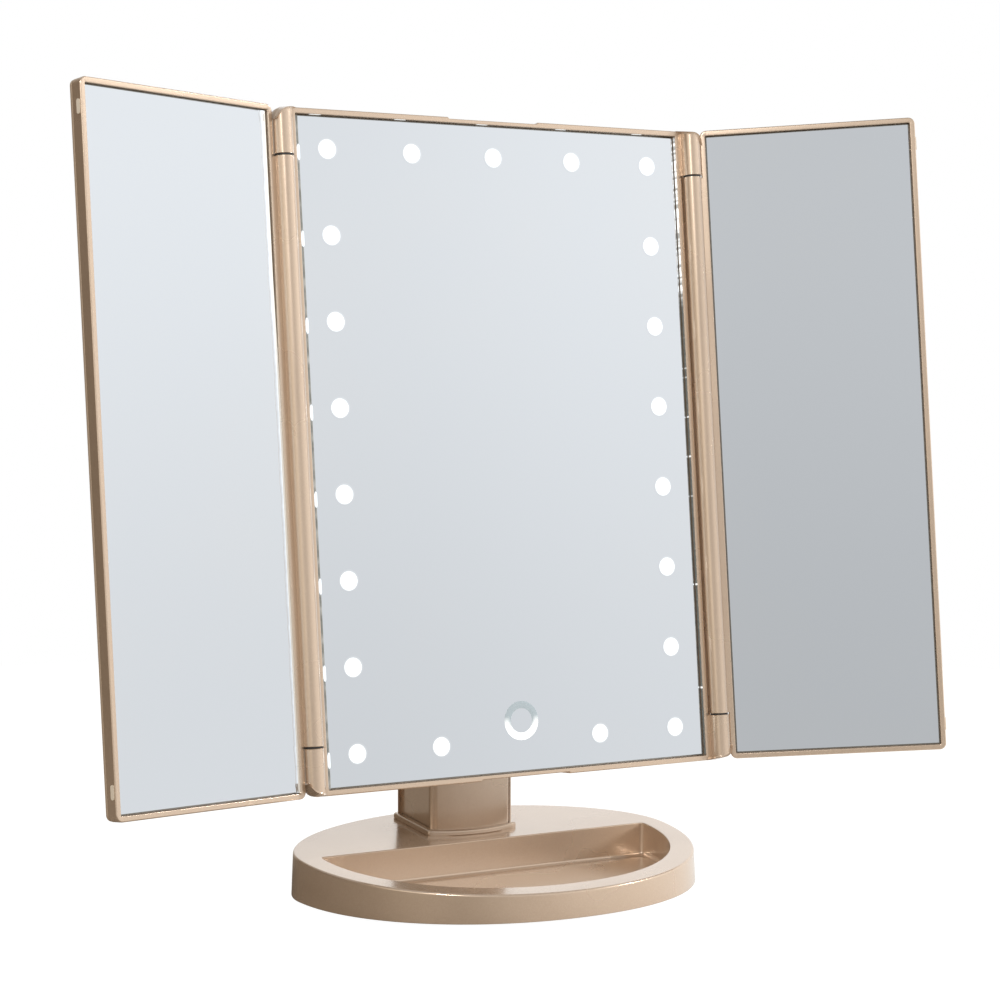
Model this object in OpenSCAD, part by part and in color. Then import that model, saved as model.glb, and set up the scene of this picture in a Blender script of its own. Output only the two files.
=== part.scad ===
// Trifold vanity mirror: a lit centre panel between two folding wings,
// leaning on a stem that stands in an oval base with a tray.
// Millimetres, +Z up, -Y toward the viewer, +X to the viewer's right.
// The origin lies on the table, below the widest line of the base.
//
// The panels are drawn flat, in their own directions: X across, Y up the
// panel from its lower edge, Z out of the mirror toward the viewer.
// in_panel(), in_wing() and in_left_wing() then set them up in the world.

/* [Panels] */
// Height of all three panels
panel_h = 245; // [200:1:300]
// Distance from the middle of the mirror to each hinge axis
hinge_half = 87.2; // [75:0.1:105]
// Width of the rim in front of each mirror pane
rim = 2; // [1.6:0.1:3]
// Depth of the centre frame, without its back cover
centre_depth = 7.2; // [7:0.1:12]
// How far the centre pane lies behind its rim
centre_recess = 1.8; // [0.5:0.1:2]
// Whole depth of a wing
wing_depth = 6.2; // [5.8:0.1:10]
// How far a wing's pane lies behind its rim
wing_recess = 1.1; // [0.4:0.1:1.4]
// Thickness of the glass panes
pane_t = 1.8; // [1.5:0.1:2]
// Thickness of the back covers
cover_t = 1.6; // [1.2:0.1:2]
// Radius of the outer corners of a panel
corner_r = 3; // [2:0.1:4]
// Free space left on either side of the middle where the closed wings meet
meet_gap = 0.5; // [0.4:0.1:1]

/* [Rest pose] */
// Height of the lower edge of the centre panel above the table
panel_z = 44.7; // [38:0.1:60]
// Distance from the origin to the front of that edge, toward the viewer
panel_y = 27.8; // [22:0.1:32]
// Backward lean of the panels, in degrees
lean = 6; // [0:0.5:12]
// Fold of the left wing toward the viewer, in degrees
left_fold = 16.5; // [0:0.5:60]
// Fold of the right wing toward the viewer, in degrees
right_fold = 33; // [0:0.5:60]

/* [Wing hinges] */
// Radius of the hinge barrels
barrel_r = 3.45; // [3:0.05:4]
// How far the hinge axis stands in front of the centre rim
axis_proud = 1.6; // [1.2:0.1:2]
// How far the front of a wing lies behind its hinge axis
wing_set_back = 1; // [0.6:0.1:1.4]
// Length of a knuckle on the centre frame
knuckle_len = 17.5; // [12:0.5:25]
// Gap between a knuckle and the long barrel of the wing
knuckle_gap = 0.6; // [0.4:0.1:1]
// Rounding of a knuckle's outer end, as seen from the front
knuckle_round = 5; // [3:0.1:6]
// Rounding of a knuckle's outer end toward the viewer
knuckle_front_round = 2.2; // [0.5:0.1:3]
// Gap between a knuckle and the side of the wing
knuckle_side_gap = 0.32; // [0.3:0.01:0.6]
// Thickness of the wall of the centre frame behind each barrel
channel_t = 1.6; // [1:0.1:2.5]
// How far that wall reaches past the hinge axis
channel_out = 1.2; // [0:0.1:2]
// Radius of the hinge pins
pin_r = 1.1; // [0.8:0.05:1.3]
// Length of a pin inside its knuckle, and again inside the wing
pin_grip = 13; // [9:0.5:15]

/* [Lights] */
// Rows of light windows up the sides
led_rows = 8; // [4:1:12]
// Columns of light windows across the top
led_cols = 5; // [3:2:7]
// Radius of a light window
window_r = 3.3; // [2:0.1:4]
// Height of the lowest row above the lower edge
row_edge = 14; // [12:0.5:20]
// Distance from a hinge axis to the outer column
col_edge = 18.6; // [16:0.1:24]
// Outer radius of the ring of the touch switch
ring_r = 7.25; // [6:0.05:9]
// Inner radius of that ring
ring_bore_r = 4.6; // [3.5:0.1:5]
// Height of the ring's middle above the lowest row
ring_rise = 7.2; // [0:0.1:10]

/* [Base] */
// Half the width of the base at its top edge
base_half = 80; // [70:1:100]
// Reach of the base toward the viewer, from the origin
base_front = 70; // [60:1:90]
// Reach of the base to the rear
base_back = 49; // [45:1:70]
// Fullness of the front curve, 2 being an ellipse
front_fullness = 2.1; // [1.9:0.05:2.5]
// Fullness of the rear curve
back_fullness = 1.95; // [1.9:0.05:2.5]
// Height of the top of the base, over the origin
base_h = 16.3; // [15:0.1:24]
// Rise of the top toward the rear, in degrees
top_slope = 4.6; // [0:0.1:5]
// How much wider the foot of the side wall is than its top
draft = 0.65; // [0:0.05:2]
// Rounding of the upper edge
edge_r = 0.8; // [0.3:0.1:1.5]
// Wall of the base and of its top
base_wall = 2; // [1.6:0.1:2.5]
// Thickness of the bottom plate
plate_t = 1.2; // [1:0.1:2]
// Height of the foot pads
foot_h = 0.8; // [0.6:0.1:1]
// Thickness of the steel ballast
ballast_t = 9; // [6:0.5:9]

/* [Tray] */
// Width of the rim round the tray
tray_rim = 9; // [8:0.5:14]
// Where the straight back of the tray lies, behind the origin
tray_back = 1.2; // [-10:0.1:2]
// Thickness of the tray floor
tray_floor = 1.3; // [1:0.1:2]
// Cove between the tray floor and its walls
cove = 1.5; // [1:0.5:5]

/* [Stem] */
// Width of the stem
stem_w = 36.4; // [30:0.1:44]
// Depth of the stem, bulge included
stem_d = 31.3; // [27:0.1:33]
// Where the front of the stem lies, behind the origin
stem_front = 10.7; // [9:0.1:14]
// Bulge of the front face
stem_bulge = 3.2; // [0.5:0.1:4]
// Radius of the stem's upright edges
stem_edge_r = 1.4; // [1:0.1:4]
// Wall of the stem
stem_wall = 2.2; // [1.8:0.1:2.6]
// Height of the tilt axle above the table
pivot_z = 84; // [78:0.5:100]
// Radius of the tilt axle
axle_r = 3; // [2.5:0.1:3.5]
// Height of the collar round the foot of the stem
collar_h = 2.2; // [1.5:0.1:3]
// How far the collar stands out
collar_out = 1.5; // [1:0.1:2]

/* [Battery housing] */
// Height of the lower end of the housing above the panel's lower edge
house_lo = 28; // [24:1:30]
// Radius of a battery cell
cell_r = 7.2; // [5:0.1:8]
// Length of a battery cell, nub included
cell_len = 50.5; // [44:0.5:52]
// Wall of the housing
house_wall = 1.8; // [1.5:0.1:2.2]
// Height of the space for the electronics
service_h = 34; // [32:1:40]

/* [Hidden] */
$fn = 48;
eps = 0.01;
// Running clearance of pins and axle, and the free gap between moving pieces
run_gap = 0.05;
free_gap = 0.35;
// Clearance of pieces that are pressed or dropped into each other
fit = 0.02;
seat_gap = 0.2;
outline_steps = 96;

// Panel sizes
centre_half = hinge_half - barrel_r - free_gap;
ledge = 3;
ledge_t = 1.4;
pane_back = centre_recess + pane_t;
baffle_t = 1.6;
board_t = 1;
led_h = 0.7;
cover_back = centre_depth + cover_t;
wing_in = barrel_r + knuckle_side_gap;
wing_out = hinge_half - meet_gap;
wing_front = -wing_set_back;
wing_pane_back = wing_recess + pane_t;
wing_cover_t = 1.5;
wing_ledge = 2.5;
wing_ledge_t = 1;
wing_frame_depth = wing_depth - wing_cover_t;
notch_w = 38.5;
notch_d = 0.6;
web_back = 3.2;
bumper_l = 5;
bumper_w = 1.6;
bumper_out = 0.3;
bumper_in = 0.6;
bumper_edge = 10;

// Lights
col_half = hinge_half - col_edge;
col_pitch = 2 * col_half / (led_cols - 1);
row_pitch = (panel_h - 2 * row_edge) / (led_rows - 1);
ring_v = row_edge + ring_rise;
middle_col = (led_cols - 1) / 2;
// Every place on the border of the grid, but for the middle of the lowest row
led_spots = [
    for (i = [0 : led_cols - 1], j = [0 : led_rows - 1])
        if ((i == 0 || i == led_cols - 1 || j == 0 || j == led_rows - 1)
            && !(i == middle_col && j == 0))
            [(i - middle_col) * col_pitch, row_edge + j * row_pitch]
];
well_r = window_r + 0.3;
strip_w = 8;
led_size = 3;

// Cover screws
screw_r = 0.9;
screw_head_r = 1.7;
screw_head_h = 1;
post_r = 1.9;
cover_screw_u = centre_half - rim - post_r + 0.5;
cover_screw_v = [for (k = [0.08, 0.36, 0.64, 0.92]) k * panel_h];

// Stem and tilt axle
stem_half = stem_w / 2;
stem_back = stem_front + stem_d;
pivot_y = stem_front + stem_d / 2;
head_r = stem_d / 2;
front_arc_r = (pow(stem_half, 2) + pow(stem_bulge, 2)) / (2 * stem_bulge);
cheek_t = 2;
cheek_in = stem_half - stem_wall - 1.3 - cheek_t;
cheek_r = 7;
bush_r = 5;
lug_gap = 0.4;
lug_t = 5.5;
lug_r = 8;
lug_root = 26;
lug_in = stem_half + lug_gap;
lug_out = lug_in + lug_t;
axle_head_r = 5.5;
axle_head_h = 2;

// The axle seen from the panel's own directions
pivot_v = (pivot_y + panel_y) * sin(lean) + (pivot_z - panel_z) * cos(lean);
pivot_w = -(pivot_y + panel_y) * cos(lean) + (pivot_z - panel_z) * sin(lean);

// Battery housing
cell_gap = 0.3;
contact_t = 0.5;
spring_len = 3.5;
bay_half = (cell_len + spring_len) / 2 + contact_t;
bay_lo = house_lo + service_h + 2 * house_wall;
bay_len = 4 * (2 * cell_r + cell_gap) + cell_gap;
bay_hi = bay_lo + bay_len;
house_hi = bay_hi + house_wall;
bay_front = cover_back + house_wall;
cell_w = bay_front + cell_gap + cell_r;
door_in = cell_w + cell_r + 0.6;
door_t = 1.8;
house_back = door_in + door_t;
door_gap = 0.3;
door_half = bay_half + 1.5;
flange_out = 1.5;
flange_t = 0.9;
house_half = door_half + flange_out + door_gap + house_wall;
house_edge_r = 4;
door_hi = house_hi - 0.4;
door_lo = bay_lo - 1;

// Electronics
main_board_t = 1.6;
main_board_w = cover_back + 3.6;
main_board_half = house_half - house_wall - seat_gap;
main_board_lo = house_lo + house_wall + 3;
main_board_hi = main_board_lo + 26;
board_post_r = 2.2;
socket_l = 5.6;
socket_h = 2.6;
socket_w = 7.5;
control_v = (main_board_lo + main_board_hi) / 2;
knob_l = 3.2;
knob_t = 2.4;
knob_out = 1.4;
knob_travel = 3;
switch_l = 10;
switch_deep = 5.4;
switch_h = 5.5;

// Base
plate_top = foot_h + plate_t;
tray_z = plate_top + tray_floor;
tray_wall = 1.8;
base_screw_r = 1.1;
base_boss_r = 2.4;
flat_head_r = 2.4;
flat_head_h = 0.5;
flange_h = 3;
pad_r = 5;

// Colours
champagne = [0.80, 0.72, 0.63];
champagne_dark = [0.62, 0.53, 0.43];
cover_colour = [0.78, 0.70, 0.61];
silver = [0.84, 0.86, 0.89];
steel = [0.62, 0.63, 0.65];
brass = [0.80, 0.65, 0.35];
rubber = [0.20, 0.20, 0.20];
white = [0.96, 0.96, 0.95];
light = [1, 1, 0.97];
board_green = [0.10, 0.38, 0.24];
foam = [0.30, 0.30, 0.32];
nylon = [0.90, 0.88, 0.82];

// ---- Placing ----

// From the flat panel directions to the leaning panel in the world
module in_panel() {
    translate([0, -panel_y, panel_z])
        rotate([90 - lean, 0, 0])
            children();
}

// A wing is drawn with its hinge axis on Y and swings out to the right
module in_right_wing() {
    in_panel()
        translate([hinge_half, 0, axis_proud])
            rotate([0, -right_fold, 0])
                children();
}

module in_left_wing() {
    in_panel()
        mirror([1, 0, 0])
            translate([hinge_half, 0, axis_proud])
                rotate([0, -left_fold, 0])
                    children();
}

// The plane of the base's sloping top
module on_base_top() {
    translate([0, 0, base_h])
        rotate([top_slope, 0, 0])
            children();
}

// ---- Shapes that repeat ----

module box(low, high) {
    translate(low)
        cube(high - low);
}

// Rectangle with round corners, from low to high
module round_rect(low, high, r) {
    translate([low[0] + r, low[1]])
        square([high[0] - low[0] - 2 * r, high[1] - low[1]]);
    translate([low[0], low[1] + r])
        square([high[0] - low[0], high[1] - low[1] - 2 * r]);
    for (x = [low[0] + r, high[0] - r], y = [low[1] + r, high[1] - r])
        translate([x, y])
            circle(r);
}

// Plate with round corners between two depths behind the front
module round_plate(low, high, r, front, back) {
    translate([0, 0, -back])
        linear_extrude(back - front)
            round_rect(low, high, r);
}

// Rod along Y, from y0 to y1
module rod_y(x, z, r, y0, y1) {
    translate([x, y0, z])
        rotate([-90, 0, 0])
            cylinder(r = r, h = y1 - y0);
}

// Rod along X, from x0 to x1
module rod_x(y, z, r, x0, x1) {
    translate([x0, y, z])
        rotate([0, 90, 0])
            cylinder(r = r, h = x1 - x0);
}

// Rod along Z, from z0 to z1
module rod_z(x, y, r, z0, z1) {
    translate([x, y, z0])
        cylinder(r = r, h = z1 - z0);
}

// ---- Base ----

// Half ellipses of their own depth and fullness to the front and the rear
function oval_point(a, grow) =
    let (c = cos(a), s = sin(a))
    let (power = 2 / (s < 0 ? front_fullness : back_fullness))
    let (reach = (s < 0 ? base_front : base_back) + grow)
    [(base_half + grow) * sign(c) * pow(abs(c), power),
        reach * sign(s) * pow(abs(s), power)];

module base_outline(grow) {
    polygon([for (i = [0 : outline_steps - 1]) oval_point(360 * i / outline_steps, grow)]);
}

// Thin slice of the base, parallel to its top
module top_slice(grow, drop) {
    on_base_top()
        translate([0, 0, -drop - eps])
            linear_extrude(eps)
                base_outline(grow);
}

// The base's outer form, or the same drawn in by an inset on all sides
module base_form(inset, low) {
    hull() {
        translate([0, 0, low])
            linear_extrude(eps)
                base_outline(draft - inset);
        top_slice(-inset, inset + edge_r);
        top_slice(-inset - 0.3 * edge_r, inset + 0.3 * edge_r);
        top_slice(-inset - edge_r, inset);
    }
}

// D-shaped outline of the tray, or the same grown outward
module tray_outline(grow) {
    intersection() {
        base_outline(grow - tray_rim);
        translate([-base_half, -base_front])
            square([2 * base_half, base_front + tray_back + grow]);
    }
}

module tray_space() {
    hull() {
        for (k = [0 : 30 : 90])
            translate([0, 0, tray_z + cove * (1 - cos(k))])
                linear_extrude(eps)
                    tray_outline(-cove * (1 - sin(k)));
    }
    translate([0, 0, tray_z + cove])
        linear_extrude(base_h)
            tray_outline(0);
}

// Outline of the stem: straight sides, a slightly round front
module stem_outline(grow) {
    intersection() {
        round_rect([-stem_half - grow, stem_front - grow],
            [stem_half + grow, stem_back + grow], stem_edge_r + max(grow, -1));
        translate([0, stem_front + front_arc_r])
            circle(front_arc_r + grow, $fn = 180);
    }
}

// Places of the screws that hold the bottom plate
base_screw_spots = concat(
    [for (a = [232, 308]) oval_point(a, -(base_wall + tray_rim - tray_wall) / 2)],
    [for (side = [-1, 1]) [side * 0.72 * base_half, 0.34 * base_back]],
    [[0, stem_back + (base_back - stem_back) / 2 - 0.4]]);
stem_screw_spots = [for (x = [-7, 7], y = [-4, 4]) [x, pivot_y + y]];
foot_spots = concat([[0, 0]],
    [for (side = [-1, 1], k = [[0.62, -0.52 * base_front], [0.66, 0.48 * base_back]])
        [side * k[0] * base_half, k[1]]]);

module base_bosses() {
    for (p = base_screw_spots)
        rod_z(p[0], p[1], base_boss_r, plate_top, base_h + base_back * tan(top_slope));
}

module base_shell() {
    color(champagne)
        difference() {
            base_form(0, foot_h);
            translate([0, 0, foot_h - 1])
                linear_extrude(plate_t + 1)
                    base_outline(draft - base_wall);
            difference() {
                base_form(base_wall, plate_top);
                translate([0, 0, plate_top])
                    linear_extrude(base_h + base_back)
                        tray_outline(tray_wall);
                base_bosses();
            }
            tray_space();
            linear_extrude(base_h + base_back)
                stem_outline(seat_gap / 2);
            for (p = base_screw_spots)
                rod_z(p[0], p[1], base_screw_r + fit, foot_h, foot_h + 7);
        }
}

module base_plate() {
    color(champagne_dark)
        difference() {
            translate([0, 0, foot_h])
                linear_extrude(plate_t)
                    base_outline(draft - base_wall - seat_gap);
            for (p = concat(base_screw_spots, stem_screw_spots))
                rod_z(p[0], p[1], base_screw_r + fit, 0, plate_top + 1);
        }
}

module ballast() {
    color(steel)
        translate([0, 0, plate_top])
            linear_extrude(ballast_t)
                difference() {
                    intersection() {
                        base_outline(-base_wall - 3);
                        translate([-base_half, tray_back + tray_wall + 1])
                            square([2 * base_half, base_back]);
                    }
                    stem_outline(0.6);
                    for (p = base_screw_spots)
                        translate(p)
                            circle(base_boss_r + 0.3);
                }
}

module foot_pads() {
    color(rubber)
        for (p = foot_spots)
            rod_z(p[0], p[1], pad_r, 0, foot_h);
}

// A screw that enters from below, with a thin head under the plate
module plate_screw(p, tip) {
    rod_z(p[0], p[1], flat_head_r, foot_h - flat_head_h, foot_h);
    rod_z(p[0], p[1], base_screw_r, foot_h - flat_head_h, tip);
}

module base_screws() {
    color(steel)
        for (p = base_screw_spots)
            plate_screw(p, foot_h + 6.5);
}

// ---- Stem ----

// Upright column whose top is round about the axle, drawn in by an inset
module stem_form(inset, low) {
    intersection() {
        translate([0, 0, low])
            linear_extrude(pivot_z + head_r)
                stem_outline(-inset);
        union() {
            rod_x(pivot_y, pivot_z, head_r - inset, -stem_half, stem_half);
            box([-stem_half, stem_front - 1, low - 1], [stem_half, stem_back + 1, pivot_z]);
        }
    }
}

stem_door_half = stem_half - 4.5;
stem_door_lo = base_h + 10;
stem_door_hi = pivot_z - 6;

module stem_shell() {
    color(champagne)
        difference() {
            union() {
                stem_form(0, plate_top);
                on_base_top()
                    linear_extrude(collar_h)
                        stem_outline(collar_out);
            }
            stem_form(stem_wall, plate_top - 1);
            box([-stem_door_half, pivot_y, stem_door_lo],
                [stem_door_half, stem_back + 1, stem_door_hi]);
            rod_x(pivot_y, pivot_z, bush_r + run_gap, -stem_w, stem_w);
        }
}

// Closes the slot in the rear of the stem; its lip grips behind the wall
module stem_cover() {
    lip = 0.8;
    lip_t = 1.2;
    color(champagne_dark) {
        box([-stem_door_half + seat_gap, stem_back - stem_wall - lip_t, stem_door_lo + seat_gap],
            [stem_door_half - seat_gap, stem_back, stem_door_hi - seat_gap]);
        box([-stem_door_half - lip, stem_back - stem_wall - lip_t, stem_door_lo - lip],
            [stem_door_half + lip, stem_back - stem_wall - fit, stem_door_hi + lip]);
    }
}

// Steel fork: a foot on the bottom plate and two cheeks that carry the axle
module stem_bracket() {
    foot_half = stem_half - stem_wall - seat_gap;
    color(steel)
        difference() {
            union() {
                box([-foot_half, pivot_y - cheek_r, plate_top],
                    [foot_half, pivot_y + cheek_r, plate_top + flange_h]);
                for (side = [-1, 1]) {
                    x0 = side > 0 ? cheek_in : -cheek_in - cheek_t;
                    box([x0, pivot_y - cheek_r, plate_top],
                        [x0 + cheek_t, pivot_y + cheek_r, pivot_z]);
                    rod_x(pivot_y, pivot_z, cheek_r, x0, x0 + cheek_t);
                }
            }
            rod_x(pivot_y, pivot_z, axle_r + run_gap, -stem_w, stem_w);
            for (p = stem_screw_spots)
                rod_z(p[0], p[1], base_screw_r + fit, plate_top - 1, plate_top + flange_h + 1);
        }
}

module stem_screws() {
    color(steel)
        for (p = stem_screw_spots)
            plate_screw(p, plate_top + flange_h);
}

// Friction bushes between the cheeks and the lugs of the back cover
module tilt_bushes() {
    color(nylon)
        for (side = [-1, 1])
            difference() {
                x0 = side > 0 ? cheek_in + cheek_t : -stem_half - 0.1;
                rod_x(pivot_y, pivot_z, bush_r, x0,
                    x0 + stem_half + 0.1 - cheek_in - cheek_t);
                rod_x(pivot_y, pivot_z, axle_r + run_gap, -stem_w, stem_w);
            }
}

// ---- Centre panel ----

// The form that holds the frame and its knuckles: their outer ends are
// round as seen from the front and, less so, as seen from the side
module panel_form() {
    reach = hinge_half + barrel_r;
    front = axis_proud + barrel_r;
    intersection() {
        translate([0, 0, -centre_depth - 1])
            linear_extrude(centre_depth + 1 + front)
                round_rect([-reach, 0], [reach, panel_h], knuckle_round);
        rotate([90, 0, 90])
            translate([0, 0, -reach])
                linear_extrude(2 * reach)
                    round_rect([0, -centre_depth - 10], [panel_h, front],
                        knuckle_front_round);
    }
}

// Wall that closes the view through the gap behind a right-hand barrel
module channel_wall() {
    box([centre_half - 0.5, 0, -centre_depth],
        [hinge_half + channel_out, panel_h, channel_t - centre_depth]);
}

// A knuckle on the right-hand side, from y0 to y1
module knuckle(y0, y1) {
    rod_y(hinge_half, axis_proud, barrel_r, y0, y1);
    box([centre_half - 0.5, y0, -web_back], [hinge_half, y1, 0]);
}

// Both hinge sides, lower and upper end
module at_hinge_ends() {
    for (side = [0, 1], end = [0, 1])
        mirror([side, 0, 0])
            translate([0, end * panel_h, 0])
                mirror([0, end, 0])
                    children();
}

module centre_frame() {
    inner = centre_half - rim;
    cavity = centre_half - 1.6;
    color(champagne)
        in_panel()
            difference() {
                intersection() {
                    union() {
                        box([-centre_half, 0, -centre_depth], [centre_half, panel_h, 0]);
                        at_hinge_ends()
                            knuckle(0, knuckle_len);
                        for (side = [0, 1])
                            mirror([side, 0, 0])
                                channel_wall();
                    }
                    panel_form();
                }
                // Pocket for the pane, the window behind it, the rear cavity
                box([-inner, rim, -pane_back], [inner, panel_h - rim, 1]);
                box([ledge - inner, rim + ledge, -centre_depth - 1],
                    [inner - ledge, panel_h - rim - ledge, 1]);
                difference() {
                    box([-cavity, 1.6, -centre_depth - 1],
                        [cavity, panel_h - 1.6, -pane_back - ledge_t]);
                    cover_posts();
                }
                // Finger notches in the upper and lower edge
                for (y = [notch_d - 5, panel_h - notch_d])
                    box([-notch_w / 2, y, -centre_depth - 1], [notch_w / 2, y + 5, 1]);
                at_hinge_ends()
                    rod_y(hinge_half, axis_proud, pin_r + fit, knuckle_len - pin_grip,
                        knuckle_len + 1);
                for (side = [-1, 1], v = cover_screw_v)
                    rod_z(side * cover_screw_u, v, screw_r + fit, -centre_depth - 1,
                        -pane_back - 0.6);
            }
}

module cover_posts() {
    for (side = [-1, 1], v = cover_screw_v)
        rod_z(side * cover_screw_u, v, post_r, -centre_depth, -pane_back - ledge_t + eps);
}

module centre_mirror() {
    inner = centre_half - rim - seat_gap;
    color(silver)
        in_panel()
            difference() {
                box([-inner, rim + seat_gap, -pane_back],
                    [inner, panel_h - rim - seat_gap, -centre_recess]);
                for (p = led_spots)
                    rod_z(p[0], p[1], window_r, -pane_back - 1, 1);
                rod_z(0, ring_v, ring_r, -pane_back - 1, 1);
            }
}

// The clear, frosted places in the silvered pane, one before each light
module light_windows() {
    color(light)
        in_panel()
            for (p = led_spots)
                rod_z(p[0], p[1], window_r - fit, -pane_back, -centre_recess);
}

module touch_ring() {
    color(light)
        in_panel()
            difference() {
                rod_z(0, ring_v, ring_r - fit, -pane_back, -centre_recess);
                rod_z(0, ring_v, ring_bore_r, -pane_back - 1, 1);
            }
}

module touch_disc() {
    color(silver)
        in_panel()
            rod_z(0, ring_v, ring_bore_r - fit, -pane_back, -centre_recess);
}

// Copper foil behind the disc, and the stud that joins it to its board
module touch_pad() {
    color(brass)
        in_panel() {
            rod_z(0, ring_v, ring_bore_r - 0.6, -pane_back - 0.3, -pane_back);
            rod_z(0, ring_v, 1.5, -pane_back - baffle_t, -pane_back);
        }
}

module light_baffle() {
    inner = centre_half - rim - ledge - 0.4;
    color(white)
        in_panel()
            difference() {
                box([-inner, rim + ledge + 0.4, -pane_back - baffle_t],
                    [inner, panel_h - rim - ledge - 0.4, -pane_back]);
                for (p = led_spots)
                    rod_z(p[0], p[1], well_r, -centre_depth - 1, 1);
                rod_z(0, ring_v, ring_r + 0.2, -centre_depth - 1, 1);
            }
}

board_front = pane_back + baffle_t;
board_back = board_front + board_t;

// Strips behind the two outer columns, the top row and the lowest row
module led_boards() {
    top_v = panel_h - row_edge;
    inner = col_half - strip_w / 2 - 1;
    color(board_green)
        in_panel() {
            for (side = [-1, 1])
                box([side * col_half - strip_w / 2, row_edge - 6, -board_back],
                    [side * col_half + strip_w / 2, top_v + 6, -board_front]);
            box([-inner, top_v - strip_w / 2, -board_back],
                [inner, top_v + strip_w / 2, -board_front]);
            box([-inner, row_edge - strip_w / 2, -board_back],
                [inner, row_edge + strip_w / 2, -board_front]);
            box([-ring_r - 2, row_edge - strip_w / 2, -board_back],
                [ring_r + 2, ring_v + ring_r + 2, -board_front]);
        }
}

// One light on each spot, and three round the touch pad
module leds() {
    ring_mid = (ring_r + ring_bore_r) / 2;
    color(light)
        in_panel() {
            for (p = led_spots)
                box([p[0] - led_size / 2, p[1] - led_size / 2, -board_front],
                    [p[0] + led_size / 2, p[1] + led_size / 2, led_h - board_front]);
            for (a = [-150, -90, -30])
                translate([ring_mid * cos(a), ring_v + ring_mid * sin(a), -board_front])
                    translate([-0.8, -0.8, 0])
                        cube([1.6, 1.6, led_h]);
        }
}

// Flat cable from the ring's board to the control board
module ribbon_cable() {
    ribbon_t = 0.6;
    lower = ring_v + ring_r - 3;
    bend = main_board_lo + 6;
    color(foam)
        in_panel() {
            box([-3, lower, -board_back - ribbon_t], [3, bend, -board_back]);
            box([-3, bend - ribbon_t, -main_board_w], [3, bend, -board_back - ribbon_t]);
        }
}

// ---- Back cover, battery housing and electronics ----

module housing_block() {
    round_plate([-house_half, house_lo], [house_half, house_hi], house_edge_r,
        centre_depth, house_back);
}

// A lug beside the stem's head, from the housing to round the axle
module lug(x0) {
    rod_x(pivot_v, pivot_w, lug_r, x0, x0 + lug_t);
    translate([x0, 0, 0])
        rotate([0, 90, 0])
            linear_extrude(lug_t)
                polygon([
                    [house_back - 1, pivot_v - lug_root / 2],
                    [house_back - 1, pivot_v + lug_root / 2],
                    [-pivot_w, pivot_v + lug_r],
                    [-pivot_w, pivot_v - lug_r]
                ]);
}

module back_cover() {
    half = centre_half - 0.15;
    color(cover_colour)
        in_panel()
            difference() {
                union() {
                    round_plate([-half, 0.15], [half, panel_h - 0.15], 1, centre_depth, cover_back);
                    housing_block();
                    lug(lug_in);
                    lug(-lug_out);
                    cover_ribs();
                }
                service_space();
                battery_bay();
                socket_slot();
                switch_slot();
                rod_x(pivot_v, pivot_w, axle_r + fit, -lug_out - 1, lug_out + 1);
                for (side = [-1, 1], v = cover_screw_v) {
                    rod_z(side * cover_screw_u, v, screw_r + fit, -cover_back - 1, 1);
                    rod_z(side * cover_screw_u, v, screw_head_r + 0.1, -cover_back - 1,
                        screw_head_h - cover_back);
                }
            }
}

// Pads that press the light baffle against the pane
module cover_ribs() {
    for (side = [-1, 1], v = [0.3, 0.7])
        box([side * 0.6 * col_half - 2, v * panel_h - 6, -centre_depth - 1],
            [side * 0.6 * col_half + 2, v * panel_h + 6, -board_front]);
}

// Hollow for the electronics, open to the panel, with posts for the board
module service_space() {
    inner = house_half - house_wall;
    lo = house_lo + house_wall;
    difference() {
        box([-inner, lo, house_wall - house_back], [inner, lo + service_h, -centre_depth + 1]);
        for (side = [-1, 1], v = [main_board_lo + 4, main_board_hi - 4])
            rod_z(side * 0.5 * house_half, v, board_post_r, -house_back,
                -main_board_w - main_board_t);
    }
}

// Bay for the cells, open to the rear, with the grooves that guide the door
module battery_bay() {
    groove = door_half + flange_out + door_gap;
    box([-bay_half, bay_lo, -house_back - 1], [bay_half, bay_hi, -bay_front]);
    box([-groove, door_lo - door_gap, -door_in - flange_t - door_gap],
        [groove, house_hi + 1, door_gap - door_in]);
    box([-door_half - door_gap, door_lo - door_gap, -house_back - 1],
        [door_half + door_gap, house_hi + 1, door_gap - door_in]);
}

module socket_slot() {
    box([house_half - house_wall - 1, control_v - socket_w / 2 - 0.3,
            -main_board_w - main_board_t - socket_h - 0.3],
        [house_half + 1, control_v + socket_w / 2 + 0.3, -main_board_w - main_board_t + 0.3]);
}

knob_w = main_board_w + main_board_t + switch_h / 2;
knob_path = knob_l / 2 + knob_travel + door_gap;

// The knob rests at the lower end of its slot and slides up
module switch_slot() {
    box([-house_half - 1, control_v - knob_l / 2 - door_gap, -knob_w - knob_t / 2 - door_gap],
        [house_wall + 1 - house_half, control_v + knob_path,
            door_gap + knob_t / 2 - knob_w]);
}

module cover_screws() {
    color(steel)
        in_panel()
            for (side = [-1, 1], v = cover_screw_v) {
                rod_z(side * cover_screw_u, v, screw_head_r, -cover_back,
                    screw_head_h - cover_back);
                rod_z(side * cover_screw_u, v, screw_r, -cover_back, -pane_back - 0.8);
            }
}

// Circuit board with a driver chip, a choke and two capacitors
module control_board() {
    front = -main_board_w;
    back = front - main_board_t;
    color(board_green)
        in_panel() {
            box([-main_board_half, main_board_lo, back],
                [main_board_half, main_board_hi, front]);
            box([-4, control_v - 4, back - 1.4], [4, control_v + 4, back]);
            rod_z(8, control_v + 7, 2.6, back - 4, back);
            for (u = [-9, -13])
                rod_z(u, control_v - 7, 1.6, back - 5, back);
        }
}

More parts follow.
